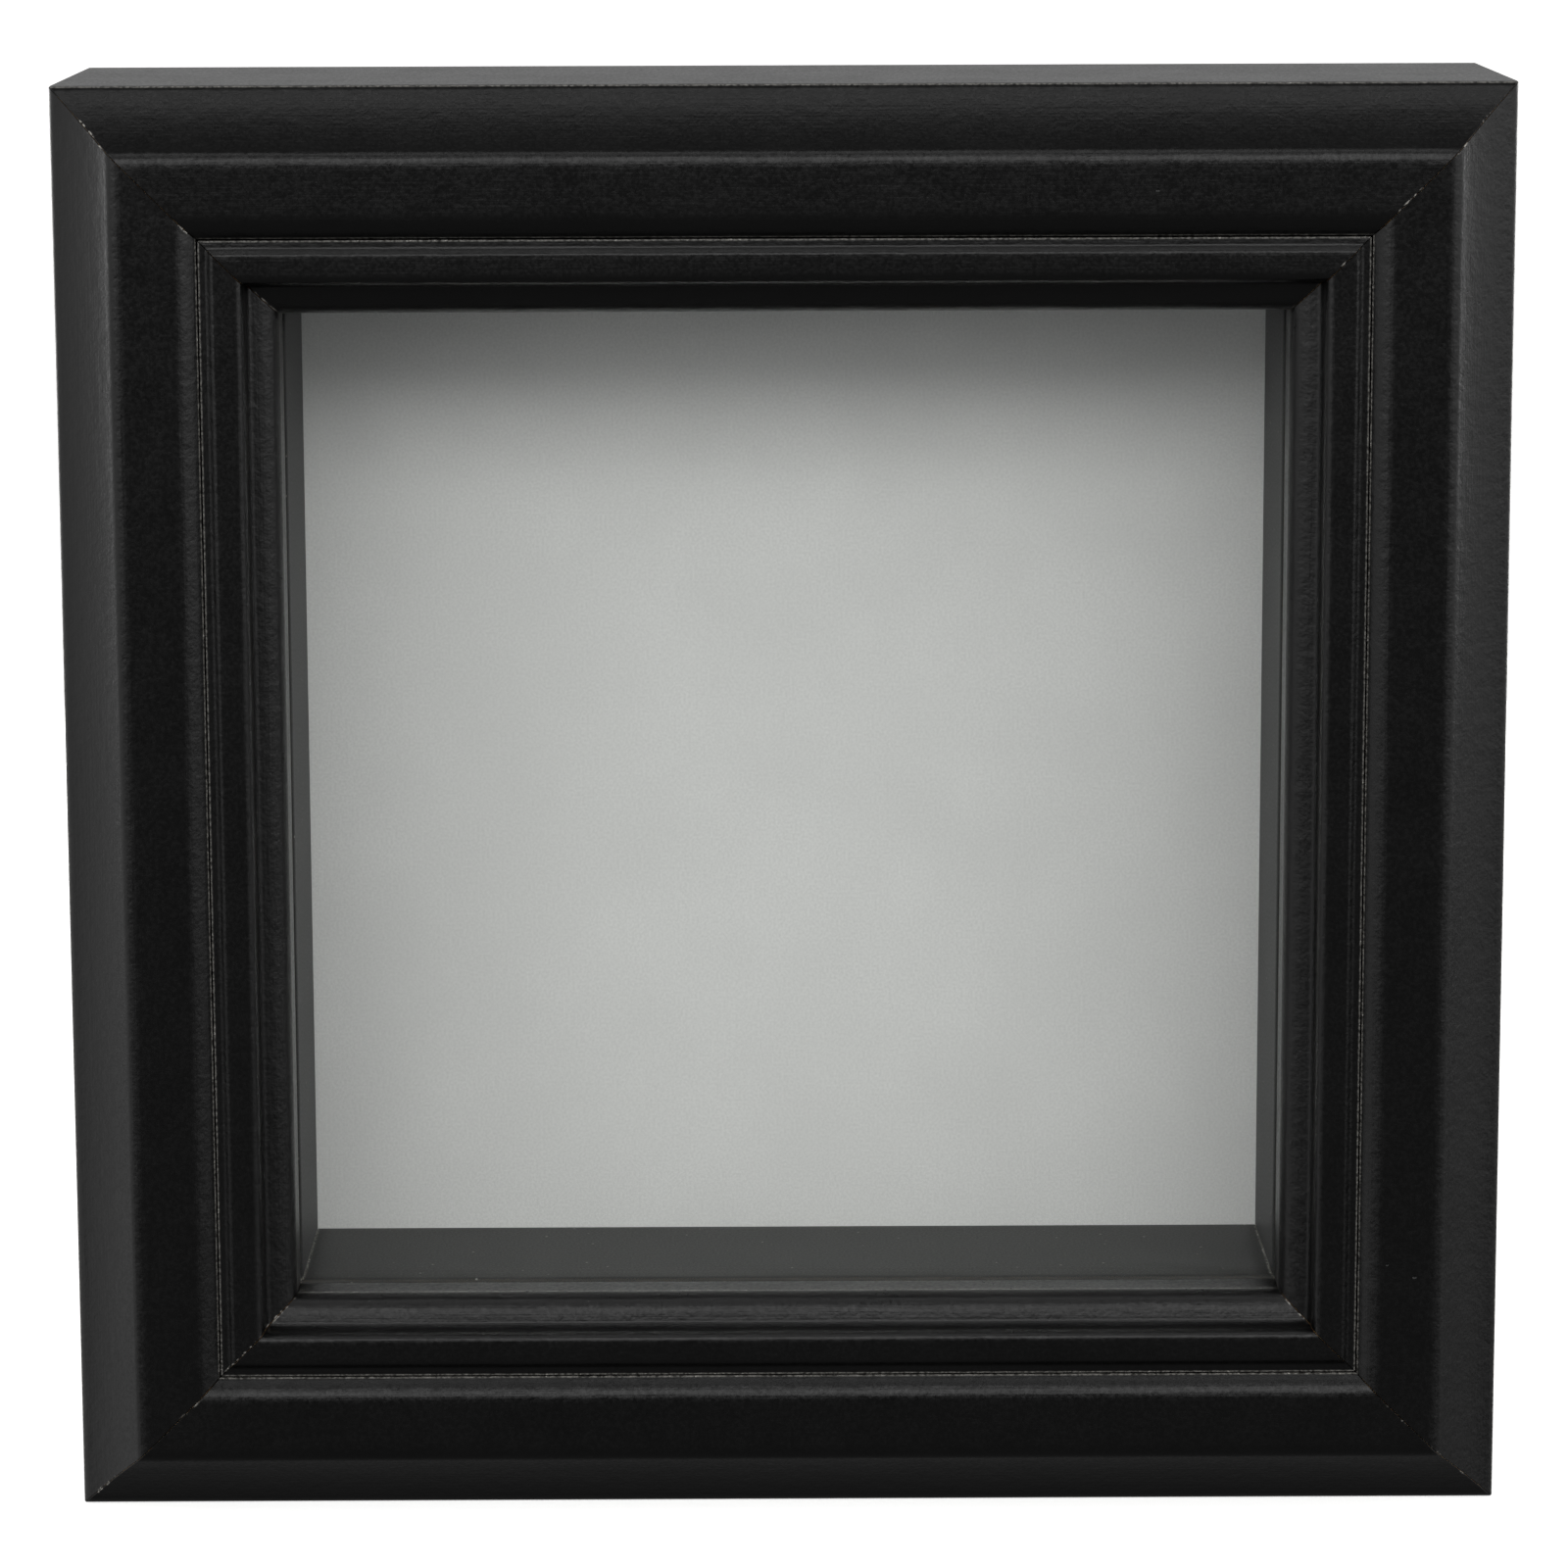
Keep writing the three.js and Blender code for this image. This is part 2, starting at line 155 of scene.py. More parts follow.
def add_node(tree, kind, inputs=(), out=0, **settings):
    """Adds a node and gives one of its outputs. Its inputs are plain values or other nodes' outputs, listed
    in the order of its sockets or keyed by a socket's name or number."""
    node = tree.nodes.new("ShaderNode" + kind)
    for name, value in settings.items():
        setattr(node, name, value)
    for key, value in inputs.items() if isinstance(inputs, dict) else enumerate(inputs):
        if isinstance(value, bpy.types.NodeSocket):
            tree.links.new(value, node.inputs[key])
        else:
            node.inputs[key].default_value = value
    return node.outputs[out] if node.outputs else None


SMOOTH = {"interpolation_type": "SMOOTHSTEP"}
RGB = {"data_type": "RGBA", "out": 2}
TIMES = {"operation": "MULTIPLY"}

# %% The tent
FRONT, SIDE_SHEET, FAR_SIDE, ABOVE, BELOW, BACK = 0.02, 2.4, 0.8, 0.12, 0.14, 0.5
world = bpy.data.worlds.new("tent")
world.use_nodes = True
sky = world.node_tree
sky.nodes.clear()
direction = add_node(sky, "TexCoord", out="Generated")
axis = {name: add_node(sky, "SeparateXYZ", [direction], out=name) for name in "XYZ"}
# the opening is a little to the right of the middle
OPENING_SHIFT = 0.06
from_middle = add_node(sky, "Math", [axis["X"], OPENING_SHIFT], operation="SUBTRACT")
aside = add_node(sky, "Math", [from_middle], operation="ABSOLUTE")
tent = add_node(sky, "MapRange", [aside, 0.46, 0.66, FRONT, SIDE_SHEET], **SMOOTH)
for measure, start, end, light in (
    (axis["Y"], 0.1, 0.5, BACK), (axis["Z"], 0.05, -0.15, BELOW),
    (aside, 0.84, 0.98, FAR_SIDE), (axis["Z"], 0.55, 0.85, ABOVE),
):
    share = add_node(sky, "MapRange", [measure, start, end, 0.0, 1.0], **SMOOTH)
    tent = add_node(sky, "Mix", {0: share, 2: tent, 3: light})
seen = add_node(sky, "LightPath", out="Is Camera Ray")
strength = add_node(sky, "Mix", {0: seen, 2: tent, 3: 1.0})
white = add_node(sky, "Background", {"Color": colour("#ffffff"), "Strength": strength})
add_node(sky, "OutputWorld", {"Surface": white})
bpy.context.scene.world = world
bpy.context.scene.view_settings.view_transform = "Standard"


# %% The soft boxes and the floor
def make_material(draw):
    """A material named after a function, which adds its nodes and gives its surface shader."""
    material = bpy.data.materials.new(draw.__name__)
    material.use_nodes = True
    material.node_tree.nodes.clear()
    add = partial(add_node, material.node_tree)
    add("OutputMaterial", {"Surface": draw(add)})
    return material


def matt_white_board(add):
    """White board, a little lit from inside so that it stays white under a small box."""
    return add("BsdfPrincipled", {
        "Base Color": colour("#f2f2f0"), "Roughness": 0.9,
        "Emission Color": colour("#ffffff"), "Emission Strength": 0.65,
    })


def soft_box(name, offset, width, height, watts):
    """A rectangular lamp that faces the front of the box. The camera doesn't see it."""
    data = bpy.data.lights.new(name, "AREA")
    data.shape = "RECTANGLE"
    data.size, data.size_y, data.energy = width, height, watts
    lamp = bpy.data.objects.new(name, data)
    lamp.location = front_centre + Vector(offset)
    lamp.rotation_euler = (front_centre - lamp.location).to_track_quat("-Z", "Y").to_euler()
    lamp.visible_camera = False
    bpy.context.scene.collection.objects.link(lamp)


soft_box("key", (0.1, -1.18, 0.74), 1.8, 0.5, 8.5)
soft_box("overhead", (0.0, -0.35, 1.0), 1.2, 0.2, 1.5)
soft_box("back_fill", (0.0, 1.0, -0.02), 4.0, 0.24, 12)

FLOOR_SIZE = 60
floor_mesh = bpy.data.meshes.new("floor")
floor_mesh.from_pydata(
    [(x * FLOOR_SIZE / 2, y * FLOOR_SIZE / 2, 0) for x, y in ((-1, -1), (1, -1), (1, 1), (-1, 1))],
    [], [(0, 1, 2, 3)],
)
floor_mesh.materials.append(make_material(matt_white_board))
floor = bpy.data.objects.new("floor", floor_mesh)
bpy.context.scene.collection.objects.link(floor)
floor.visible_glossy = floor.visible_diffuse = floor.visible_transmission = False
print("floor", FLOOR_SIZE, "m wide;", len(bpy.data.lights), "lamps")

# %% [markdown]
# ## Satin black lacquer
#
# The mouldings are pale wood with white primer and black lacquer sprayed over it. Lacquer is a clear binder
# full of black pigment, so it is a dielectric with an IOR near 1.5 and no metal in it. Satin means a
# roughness around 0.35: a lamp shows as a soft band, never as a sharp spot. Three things tell that it is
# sprayed wood: a fine orange-peel mottle, faint lengthwise grain, and pale primer where the lacquer has
# chipped off a mitre or worn thin on an arris.
#
# Each strip carries three attributes in millimetres: `grain_mm` is the place along the strip, behind the edge
# plane and out from the middle, `mitre_mm` the distance from the mitre, and `arris_mm` that from an arris.

# %% Lacquer
PRIMER = "#cbc8c1"


def laid_over(add, under, over, pattern, start, end, most=1.0):
    """One colour over another: none where the pattern is at `start`, and `most` of it at `end`."""
    share = add("MapRange", [pattern, start, end, 0.0, most], **SMOOTH)
    return add("Mix", {0: share, 6: under, 7: over}, **RGB)


def satin_black_lacquer(add):
    """Black lacquer over primer: peel, sag and grain in it, chipped and worn at its edges."""
    grain = add("Attribute", attribute_name="grain_mm", out="Vector")
    mitre = add("Attribute", attribute_name="mitre_mm", out="Fac")
    arris = add("Attribute", attribute_name="arris_mm", out="Fac")
    # orange peel is 0.3 mm across on real lacquer, drawn at 0.7 mm so that it shows
    peel = add("TexNoise", {"Vector": grain, "Scale": 1.4, "Detail": 3.0})
    # the coat sags in shallow waves 2.5 mm across
    sag = add("TexNoise", {"Vector": grain, "Scale": 0.4, "Detail": 2.0})
    # wood grain: lines 0.5 mm wide and 25 mm long
    long_way = add("VectorMath", [grain, (0.04, 2.0, 2.0)], **TIMES)
    lines = add("TexNoise", {"Vector": long_way, "Scale": 1.0, "Detail": 4.0})
    # uneven spray and handling: patches about 12 mm across
    patches = add("TexNoise", {"Vector": grain, "Scale": 0.08, "Detail": 3.0})
    # the ragged outline of a chip: 1 mm
    ragged = add("TexNoise", {"Vector": grain, "Scale": 1.0, "Detail": 4.0})
    # chips run 0.6 mm from a mitre, in stretches, and 0.4 mm from an arris, here and there
    at_mitre = add("MapRange", [mitre, 0.6, 0.1, 0.0, 0.75], **SMOOTH)
    stretches = add("MapRange", [patches, 0.56, 0.64, 0.0, 1.0], **SMOOTH)
    torn = add("MapRange", [ragged, 0.5, 0.6, 0.0, 1.0], **SMOOTH)
    at_mitre = add("Math", [at_mitre, stretches], **TIMES)
    at_mitre = add("Math", [at_mitre, torn], **TIMES)
    at_arris = add("MapRange", [arris, 0.4, 0.1, 0.0, 0.6], **SMOOTH)
    rubbed = add("MapRange", [ragged, 0.64, 0.7, 0.0, 1.0], **SMOOTH)
    at_arris = add("Math", [at_arris, rubbed], **TIMES)
    chips = add("Math", [at_mitre, at_arris], operation="MAXIMUM")
    # an arris is also worn thin by handling, so that the primer greys it over 0.45 mm
    worn = add("MapRange", [arris, 0.45, 0.15, 0.0, 1.0], **SMOOTH)
    uneven = add("MapRange", [peel, 0.35, 0.65, 0.05, 0.32], **SMOOTH)
    thin = add("Math", [worn, uneven], **TIMES)
    black = add("Mix", {0: patches, 6: colour("#030303"), 7: colour("#070707")}, **RGB)
    greyed = add("Mix", {0: thin, 6: black, 7: colour(PRIMER)}, **RGB)
    shown = add("Mix", {0: chips, 6: greyed, 7: colour(PRIMER)}, **RGB)
    gloss = add("MapRange", [peel, 0.3, 0.7, 0.28, 0.4], **SMOOTH)
    cloudy = add("MapRange", [patches, 0.3, 0.7, -0.012, 0.018], **SMOOTH)
    gloss = add("Math", [gloss, cloudy], operation="ADD")
    rough = add("Mix", {0: chips, 2: gloss, 3: 0.85})
    relief = add("Math", [lines, 0.7, peel], operation="MULTIPLY_ADD")
    relief = add("Math", [sag, 2.2, relief], operation="MULTIPLY_ADD")
    bump = add("Bump", {"Strength": 0.5, "Distance": 0.0001, "Height": relief})
    return add("BsdfPrincipled", {
        "Base Color": shown, "Roughness": rough, "IOR": 1.5, "Specular IOR Level": 0.36, "Normal": bump,
    })


# %% [markdown]
# ## The other finishes
#
# Behind the paint the moulding is bare obeche, a pale, open-grained wood that is left uncoated in the rebate
# and on the back, with a ragged edge of black where the spray went round the corner. The spacer walls have a
# flatter black with a little dust on it. The lining is uncoated paper, the back is hardboard with its
# screen-marked side out, and the ironmongery is zinc-plated steel.

# %% Bare wood
def bare_obeche(add):
    """Planed obeche: short dark pores in a straight cream grain, and black overspray at the outer edge."""
    grain = add("Attribute", attribute_name="grain_mm", out="Vector")
    arris = add("Attribute", attribute_name="arris_mm", out="Fac")
    # growth bands 3 mm wide, and pores 0.4 mm wide and 6 mm long
    wide = add("VectorMath", [grain, (0.012, 0.33, 0.33)], **TIMES)
    bands = add("TexNoise", {"Vector": wide, "Scale": 1.0, "Detail": 3.0, "Distortion": 0.4})
    fine = add("VectorMath", [grain, (0.16, 2.4, 2.4)], **TIMES)
    pores = add("TexNoise", {"Vector": fine, "Scale": 1.0, "Detail": 2.0})
    cream = laid_over(add, colour("#cdb083"), colour("#b3905f"), bands, 0.3, 0.7)
    wood = laid_over(add, cream, colour("#7a5a38"), pores, 0.56, 0.7, 0.55)
    # overspray reaches 2 mm in, with a ragged edge
    ragged = add("TexNoise", {"Vector": grain, "Scale": 0.5, "Detail": 5.0})
    reach = add("Math", [ragged, 5.0, -0.6], operation="MULTIPLY_ADD")
    inside = add("Math", [reach, arris], operation="SUBTRACT")
    shown = laid_over(add, wood, colour("#171614"), inside, -0.5, 0.5, 0.95)
    rough = add("MapRange", [pores, 0.4, 0.7, 0.62, 0.8], **SMOOTH)
    bump = add("Bump", {"Strength": 0.5, "Distance": 0.0001, "Height": pores}, invert=True)
    return add("BsdfPrincipled", {"Base Color": shown, "Roughness": rough, "IOR": 1.5, "Normal": bump})


# %% Flat black walls with dust
def flat_black_paint(add):
    """Brushed flat black: a matt coat with a fine grit in it, pale dust on it, and cracks at the corners."""
    grain = add("Attribute", attribute_name="grain_mm", out="Vector")
    mitre = add("Attribute", attribute_name="mitre_mm", out="Fac")
    # grit of 0.5 mm, and patches 14 mm across
    grit = add("TexNoise", {"Vector": grain, "Scale": 2.0, "Detail": 3.0})
    patches = add("TexNoise", {"Vector": grain, "Scale": 0.07, "Detail": 3.0})
    # dust: one speck in each 5 mm, 0.3 to 0.6 mm across
    cells = {"Vector": grain, "Scale": 0.2, "Randomness": 1.0}
    specks = add("TexVoronoi", cells, out="Distance")
    dust = add("MapRange", [specks, 0.07, 0.03, 0.0, 0.5], **SMOOTH)
    at_mitre = add("MapRange", [mitre, 0.6, 0.15, 0.0, 1.0], **SMOOTH)
    torn = add("MapRange", [grit, 0.5, 0.58, 0.0, 1.0], **SMOOTH)
    cracked = add("Math", [at_mitre, torn], **TIMES)
    pale = add("Math", [dust, cracked], operation="MAXIMUM")
    black = add("Mix", {0: patches, 6: colour("#1b1b1b"), 7: colour("#262625")}, **RGB)
    shown = add("Mix", {0: pale, 6: black, 7: colour("#b5b2ab")}, **RGB)
    rough = add("MapRange", [grit, 0.3, 0.7, 0.5, 0.64], **SMOOTH)
    bump = add("Bump", {"Strength": 0.4, "Distance": 0.00008, "Height": grit})
    return add("BsdfPrincipled", {
        "Base Color": shown, "Roughness": rough, "IOR": 1.5, "Specular IOR Level": 0.36, "Normal": bump,
    })


# %% Coordinates in millimetres for pieces that carry no attributes
def in_mm(add):
    """The piece's own coordinates in millimetres."""
    metres = add("TexCoord", out="Object")
    return add("VectorMath", [metres, (1000, 1000, 1000)], **TIMES)


# %% Glass
def float_glass(add):
    """Clear float glass: IOR 1.52, a trace of green, and so smooth that only faint smears show."""
    # smears 40 mm across
    smears = add("TexNoise", {"Vector": in_mm(add), "Scale": 0.025, "Detail": 4.0})
    rough = add("MapRange", [smears, 0.45, 0.75, 0.0, 0.03], **SMOOTH)
    pane = add("BsdfPrincipled", {
        "Base Color": colour("#fcfdfc"), "Roughness": rough, "IOR": 1.52, "Transmission Weight": 1.0,
    })
    # light from the lamps goes through the pane and isn't stopped by it
    clear = add("BsdfTransparent", {"Color": colour("#f9faf9")})
    lamp_ray = add("LightPath", out="Is Shadow Ray")
    return add("MixShader", [lamp_ray, pane, clear])


# %% Paper lining
def uncoated_paper(add):
    """Pale grey uncoated paper: a felt of fine fibres, and a few dark hairs in it."""
    here = in_mm(add)
    # the felt is 0.2 mm across, drawn at 0.5 mm so that it shows; clouds are 30 mm across
    felt = add("TexNoise", {"Vector": here, "Scale": 2.0, "Detail": 4.0})
    cloud = add("TexNoise", {"Vector": here, "Scale": 0.03, "Detail": 3.0})
    # one hair in each 22 mm, 0.5 mm wide and 1.5 mm long
    upright = add("VectorMath", [here, (1.0, 1.0, 0.35)], **TIMES)
    hairs = add("TexVoronoi", {"Vector": upright, "Scale": 0.045}, out="Distance")
    paper = laid_over(add, colour("#e0e0df"), colour("#e5e5e4"), cloud, 0.3, 0.7)
    felted = laid_over(add, paper, colour("#c8c8c7"), felt, 0.35, 0.65, 0.4)
    shown = laid_over(add, felted, colour("#4c4a47"), hairs, 0.014, 0.006, 0.6)
    rough = add("MapRange", [felt, 0.3, 0.7, 0.82, 0.95], **SMOOTH)
    bump = add("Bump", {"Strength": 0.3, "Distance": 0.0001, "Height": felt})
    return add("BsdfPrincipled", {"Base Color": shown, "Roughness": rough, "IOR": 1.45, "Normal": bump})


# %% Hardboard
SCREEN_PITCH = 1.3


def screened_hardboard(add):
    """Hardboard, screen side out: brown pressed fibre with the square print of the wire screen."""
    here = in_mm(add)
    waves = []
    for name in ("X", "Z"):
        across = add("SeparateXYZ", [here], out=name)
        turns = add("Math", [across, 2 * math.pi / SCREEN_PITCH], **TIMES)
        waves.append(add("Math", [turns], operation="SINE"))
    screen = add("Math", waves, **TIMES)
    # fibre bundles 0.7 mm across, and clouds of 20 mm
    fibres = add("TexNoise", {"Vector": here, "Scale": 1.4, "Detail": 5.0, "Distortion": 1.0})
    cloud = add("TexNoise", {"Vector": here, "Scale": 0.05, "Detail": 3.0})
    brown = laid_over(add, colour("#6e4c31"), colour("#7d5a3c"), cloud, 0.3, 0.7)
    shown = laid_over(add, brown, colour("#4a3220"), fibres, 0.45, 0.7, 0.7)
    rough = add("MapRange", [fibres, 0.3, 0.7, 0.68, 0.85], **SMOOTH)
    relief = add("Math", [screen, fibres], operation="ADD")
    bump = add("Bump", {"Strength": 0.5, "Distance": 0.0002, "Height": relief})
    return add("BsdfPrincipled", {"Base Color": shown, "Roughness": rough, "IOR": 1.5, "Normal": bump})


# %% Zinc plate
def bright_zinc_plate(add):
    """Zinc-plated pressed steel: cool grey metal, cloudy in patches, with fine rubbing marks."""
    here = in_mm(add)
    # spangle clouds 2 mm across, and rubbing marks 0.1 mm apart, drawn at 0.15 mm
    cloud = add("TexNoise", {"Vector": here, "Scale": 0.5, "Detail": 4.0})
    cross_wise = add("VectorMath", [here, (0.8, 0.8, 7.0)], **TIMES)
    rubs = add("TexNoise", {"Vector": cross_wise, "Scale": 1.0, "Detail": 3.0})
    shown = laid_over(add, colour("#c2c5c9"), colour("#a4a8ad"), cloud, 0.35, 0.65)
    gloss = add("MapRange", [cloud, 0.3, 0.7, 0.24, 0.4], **SMOOTH)
    rubbed = add("MapRange", [rubs, 0.3, 0.7, -0.05, 0.06], **SMOOTH)
    rough = add("Math", [gloss, rubbed], operation="ADD")
    bump = add("Bump", {"Strength": 0.2, "Distance": 0.00003, "Height": rubs})
    return add("BsdfPrincipled", {"Base Color": shown, "Metallic": 1.0, "Roughness": rough, "Normal": bump})


# %% Rubber
def moulded_rubber(add):
    """Black moulded rubber: matt, a little grey with bloom, and finely pitted."""
    # pits 0.5 mm across
    pits = add("TexNoise", {"Vector": in_mm(add), "Scale": 1.8, "Detail": 4.0})
    bloom = add("MapRange", [pits, 0.35, 0.7, 0.0, 1.0], **SMOOTH)
    shown = add("Mix", {0: bloom, 6: colour("#232323"), 7: colour("#343332")}, **RGB)
    rough = add("MapRange", [pits, 0.3, 0.7, 0.75, 0.9], **SMOOTH)
    bump = add("Bump", {"Strength": 0.4, "Distance": 0.0001, "Height": pits})
    return add("BsdfPrincipled", {"Base Color": shown, "Roughness": rough, "IOR": 1.52, "Normal": bump})


LACQUER, OBECHE, FLAT_BLACK, GLASS, PAPER, HARDBOARD, ZINC, RUBBER = (make_material(draw) for draw in (
    satin_black_lacquer, bare_obeche, flat_black_paint, float_glass,
    uncoated_paper, screened_hardboard, bright_zinc_plate, moulded_rubber,
))
print("materials:", sorted(material.name for material in bpy.data.materials))

# %% [markdown]
# ## Outlines, lofts and cuts
#
# Almost every piece is one outline carried along a path: a moulding's section from mitre to mitre, a strap's
# round its bar, a screw's radius round its axis. A bevelled curve could do that, but its ends can't be
# mitred. So one helper skins a row of rings that have the same number of points, and the rest only work out
# rings. Holes and slots are cut afterwards with an exact boolean, which keeps every piece a closed body.

# %% Curves and outlines
# a corner that turns by less than this is left as it is
SLIGHT_TURN = math.radians(25)


def curve(controls, steps):
    """Points of the Bezier curve with these control points, without its first."""
    line = []
    for i in range(1, steps + 1):
        level = [Vector(point) for point in controls]
        while len(level) > 1:
            level = [a.lerp(b, i / steps) for a, b in zip(level, level[1:])]
        line.append(level[0])
    return line


def arc(centre, radius, start, end, steps):
    """Points of an arc, its ends included. Angles are in turns of a right angle."""
    angles = [(start + (end - start) * i / steps) * TURN for i in range(steps + 1)]
    return [Vector(centre) + radius * Vector((math.cos(a), math.sin(a))) for a in angles]


def eased(outline, radius, steps=3):
    """A closed outline with its sharp corners rounded."""
    outline = [Vector(point) for point in outline]
    line = []
    for i, corner in enumerate(outline):
        before = outline[i - 1] - corner
        after = outline[(i + 1) % len(outline)] - corner
        if math.pi - before.angle(after) < SLIGHT_TURN:
            line.append(corner)
            continue
        reach = min(radius, 0.4 * before.length, 0.4 * after.length)
        start, end = corner + before.normalized() * reach, corner + after.normalized() * reach
        line += [start, *curve((start, corner, end), steps)]
    return line


def stretches(outline):
    """The stretches of a closed outline, each as its two ends."""
    return list(zip(outline, outline[1:] + outline[:1]))


def spread(outline, longest):
    """A closed outline with its long stretches divided."""
    line = []
    for here, there in stretches(outline):
        parts = max(1, math.ceil((there - here).length / longest))
        line += [here.lerp(there, i / parts) for i in range(parts)]
    return line


def drawn_in(outline, amount):
    """A closed outline moved inwards by this much all round."""
    area = sum(a.x * b.y - b.x * a.y for a, b in stretches(outline))
    line = []
    for i, (point, following) in enumerate(stretches(outline)):
        along = (following - outline[i - 1]).normalized()
        line.append(point + Vector((-along.y, along.x)) * math.copysign(amount, area))
    return line


# %% Lofts
def written(shape, mesh):
    """The mesh with an edited shape written into it. The shape is freed."""
    shape.to_mesh(mesh)
    shape.free()
    return mesh


def loft(name, rings, materials, wrap=False, slots=None):
    """A closed mesh through rings of equally many points: capped at its ends, or joined if it wraps.
    slots gives the material number of each stretch of a ring."""
    count, last = len(rings[0]), len(rings) - 1
    faces, numbers = [], []
    for i in range(len(rings) if wrap else last):
        here, there = i * count, (i + 1) % len(rings) * count
        for k in range(count):
            m = (k + 1) % count
            faces.append((here + k, here + m, there + m, there + k))
            numbers.append(slots[k] if slots else 0)
    if not wrap:
        faces += [tuple(range(count)), tuple(range(last * count, (last + 1) * count))]
        numbers += [len(materials) - 1] * 2
    mesh = bpy.data.meshes.new(name)
    mesh.from_pydata([point for ring in rings for point in ring], [], faces)
    mesh.polygons.foreach_set("material_index", numbers)
    for material in materials:
        mesh.materials.append(material)
    shape = bmesh.new()
    shape.from_mesh(mesh)
    bmesh.ops.recalc_face_normals(shape, faces=shape.faces)
    return written(shape, mesh)


def revolve(name, centre, profile, material, sides=32):
    """A closed mesh of revolution along the depth. profile lists (radius, depth) in mm from the centre, and a
    radius may be a function of the angle's share of a full turn."""
    rings = []
    for radius, depth in profile:
        ring = []
        for k in range(sides):
            share = k / sides
            r = radius(share) if callable(radius) else radius
            angle = 2 * math.pi * share
            ring.append(centre + Vector((r * math.cos(angle), depth, r * math.sin(angle))) * MM)
        rings.append(ring)
    return loft(name, rings, [material])


def joined(meshes):
    """Several meshes as one."""
    shape = bmesh.new()
    for mesh in meshes:
        shape.from_mesh(mesh)
    return written(shape, meshes[0].copy())


def cut(mesh, cutters):
    """The mesh with other closed meshes cut away from it."""
    work = bpy.data.objects.new("work", mesh)
    tool = bpy.data.objects.new("tool", joined(cutters))
    for thing in (work, tool):
        bpy.context.scene.collection.objects.link(thing)
    boolean = work.modifiers.new("cut", "BOOLEAN")
    boolean.operation, boolean.solver, boolean.object = "DIFFERENCE", "EXACT", tool
    graph = bpy.context.evaluated_depsgraph_get()
    done = bpy.data.meshes.new_from_object(work.evaluated_get(graph))
    for thing in (work, tool):
        bpy.data.objects.remove(thing)
    done.name = mesh.name
    return done


def add_piece(name, mesh, body, slot, *nodes, sharp=32):
    """A mesh as a piece: smooth but for its sharp edges, riding on its body, in place of its CAD nodes."""
    mesh.shade_smooth()
    mesh.set_sharp_from_angle(angle=math.radians(sharp))
    piece = bpy.data.objects.new(name, mesh)
    bpy.context.scene.collection.objects.link(piece)
    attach(piece, body)
    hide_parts(*nodes)


# %% [markdown]
# ## Mitred strips
#
# A mitred strip is lofted from mitre to mitre: a point that is `run` in from the outer face ends `run` short
# of the corner. The last ring is drawn in by a hair, which makes the fine dark V that every joined mitre has.
# Hand-sanded mouldings are never quite straight, so the front wanders by less than a tenth of a millimetre,
# which breaks up the long highlights.

# %% Strip helpers
MITRE_TRIM = 0.03
MITRE_GROOVE = 0.13
GROOVE_LENGTH = 0.18
STATIONS = 64
WANDER, WANDER_ALONG, WANDER_ACROSS, WANDER_STEP = 0.08, 16, 7, 9.1
GRAIN_STEP = 300


def placed(turn, levels, reach=0):
    """Rings on one side, from levels of (outline, depth) in mm, moved out from the middle by `reach`."""
    return [[place(turn, x, depth, reach + z) for x, z in outline] for outline, depth in levels]


def mitred_strip(name, section, turn, materials, slots=None):
    """One side's strip. Its section lists (run, depth) in mm; slots gives each stretch's material number."""
    edge = 1 - GROOVE_LENGTH / HALF
    shares = [-1.0, *(edge * (2 * i / STATIONS - 1) for i in range(STATIONS + 1)), 1.0]
    rings = []
    for share in shares:
        ring = []
        for point in drawn_in(section, MITRE_GROOVE) if abs(share) == 1 else section:
            run, depth = point
            along = share * (HALF - run - MITRE_TRIM)
            if depth < 0:
                drift = noise.noise(Vector((along / WANDER_ALONG, run / WANDER_ACROSS, WANDER_STEP * turn)))
                depth += WANDER * (0.5 + 0.5 * drift) * min(1, -depth / 4)
            ring.append(place(turn, along, depth, HALF - run))
        rings.append(ring)
    return loft(name, rings, materials, slots=slots)


def mark(mesh, turn, arrises):
    """Gives each point its place along the grain, and its distance from the mitre and the nearest arris."""
    c, s = math.cos(turn * TURN), math.sin(turn * TURN)
    grain, mitre, edge = [], [], []
    for vertex in mesh.vertices:
        x, depth, z = vertex.co.x / MM, depth_of(vertex.co.y), (vertex.co.z - MIDDLE_Z) / MM
        along, reach = x * c - z * s, x * s + z * c
        here = Vector((HALF - reach, depth))
        grain += (along + GRAIN_STEP * turn, depth, reach)
        mitre.append(max(0.0, reach - abs(along)))
        edge.append(min((here - Vector(arris)).length for arris in arrises))
    for name, kind, field, values in (
        ("grain_mm", "FLOAT_VECTOR", "vector", grain), ("mitre_mm", "FLOAT", "value", mitre),
        ("arris_mm", "FLOAT", "value", edge),
    ):
        mesh.attributes.new(name, kind, "POINT").data.foreach_set(field, values)


# %% [markdown]
# ## Rails
#
# From the outer edge a rail's face climbs in a long ogee to a soft shoulder and a flat crest, then rolls down
# to the quirk, the narrow groove beside the bead. Behind that are the seat of the bead, the deep rebate, and
# the wider rear rebate whose ledge carries the turn buttons. The slots of the V-nails, the pilot holes of the
# screws and a few dents are cut from the finished strip.

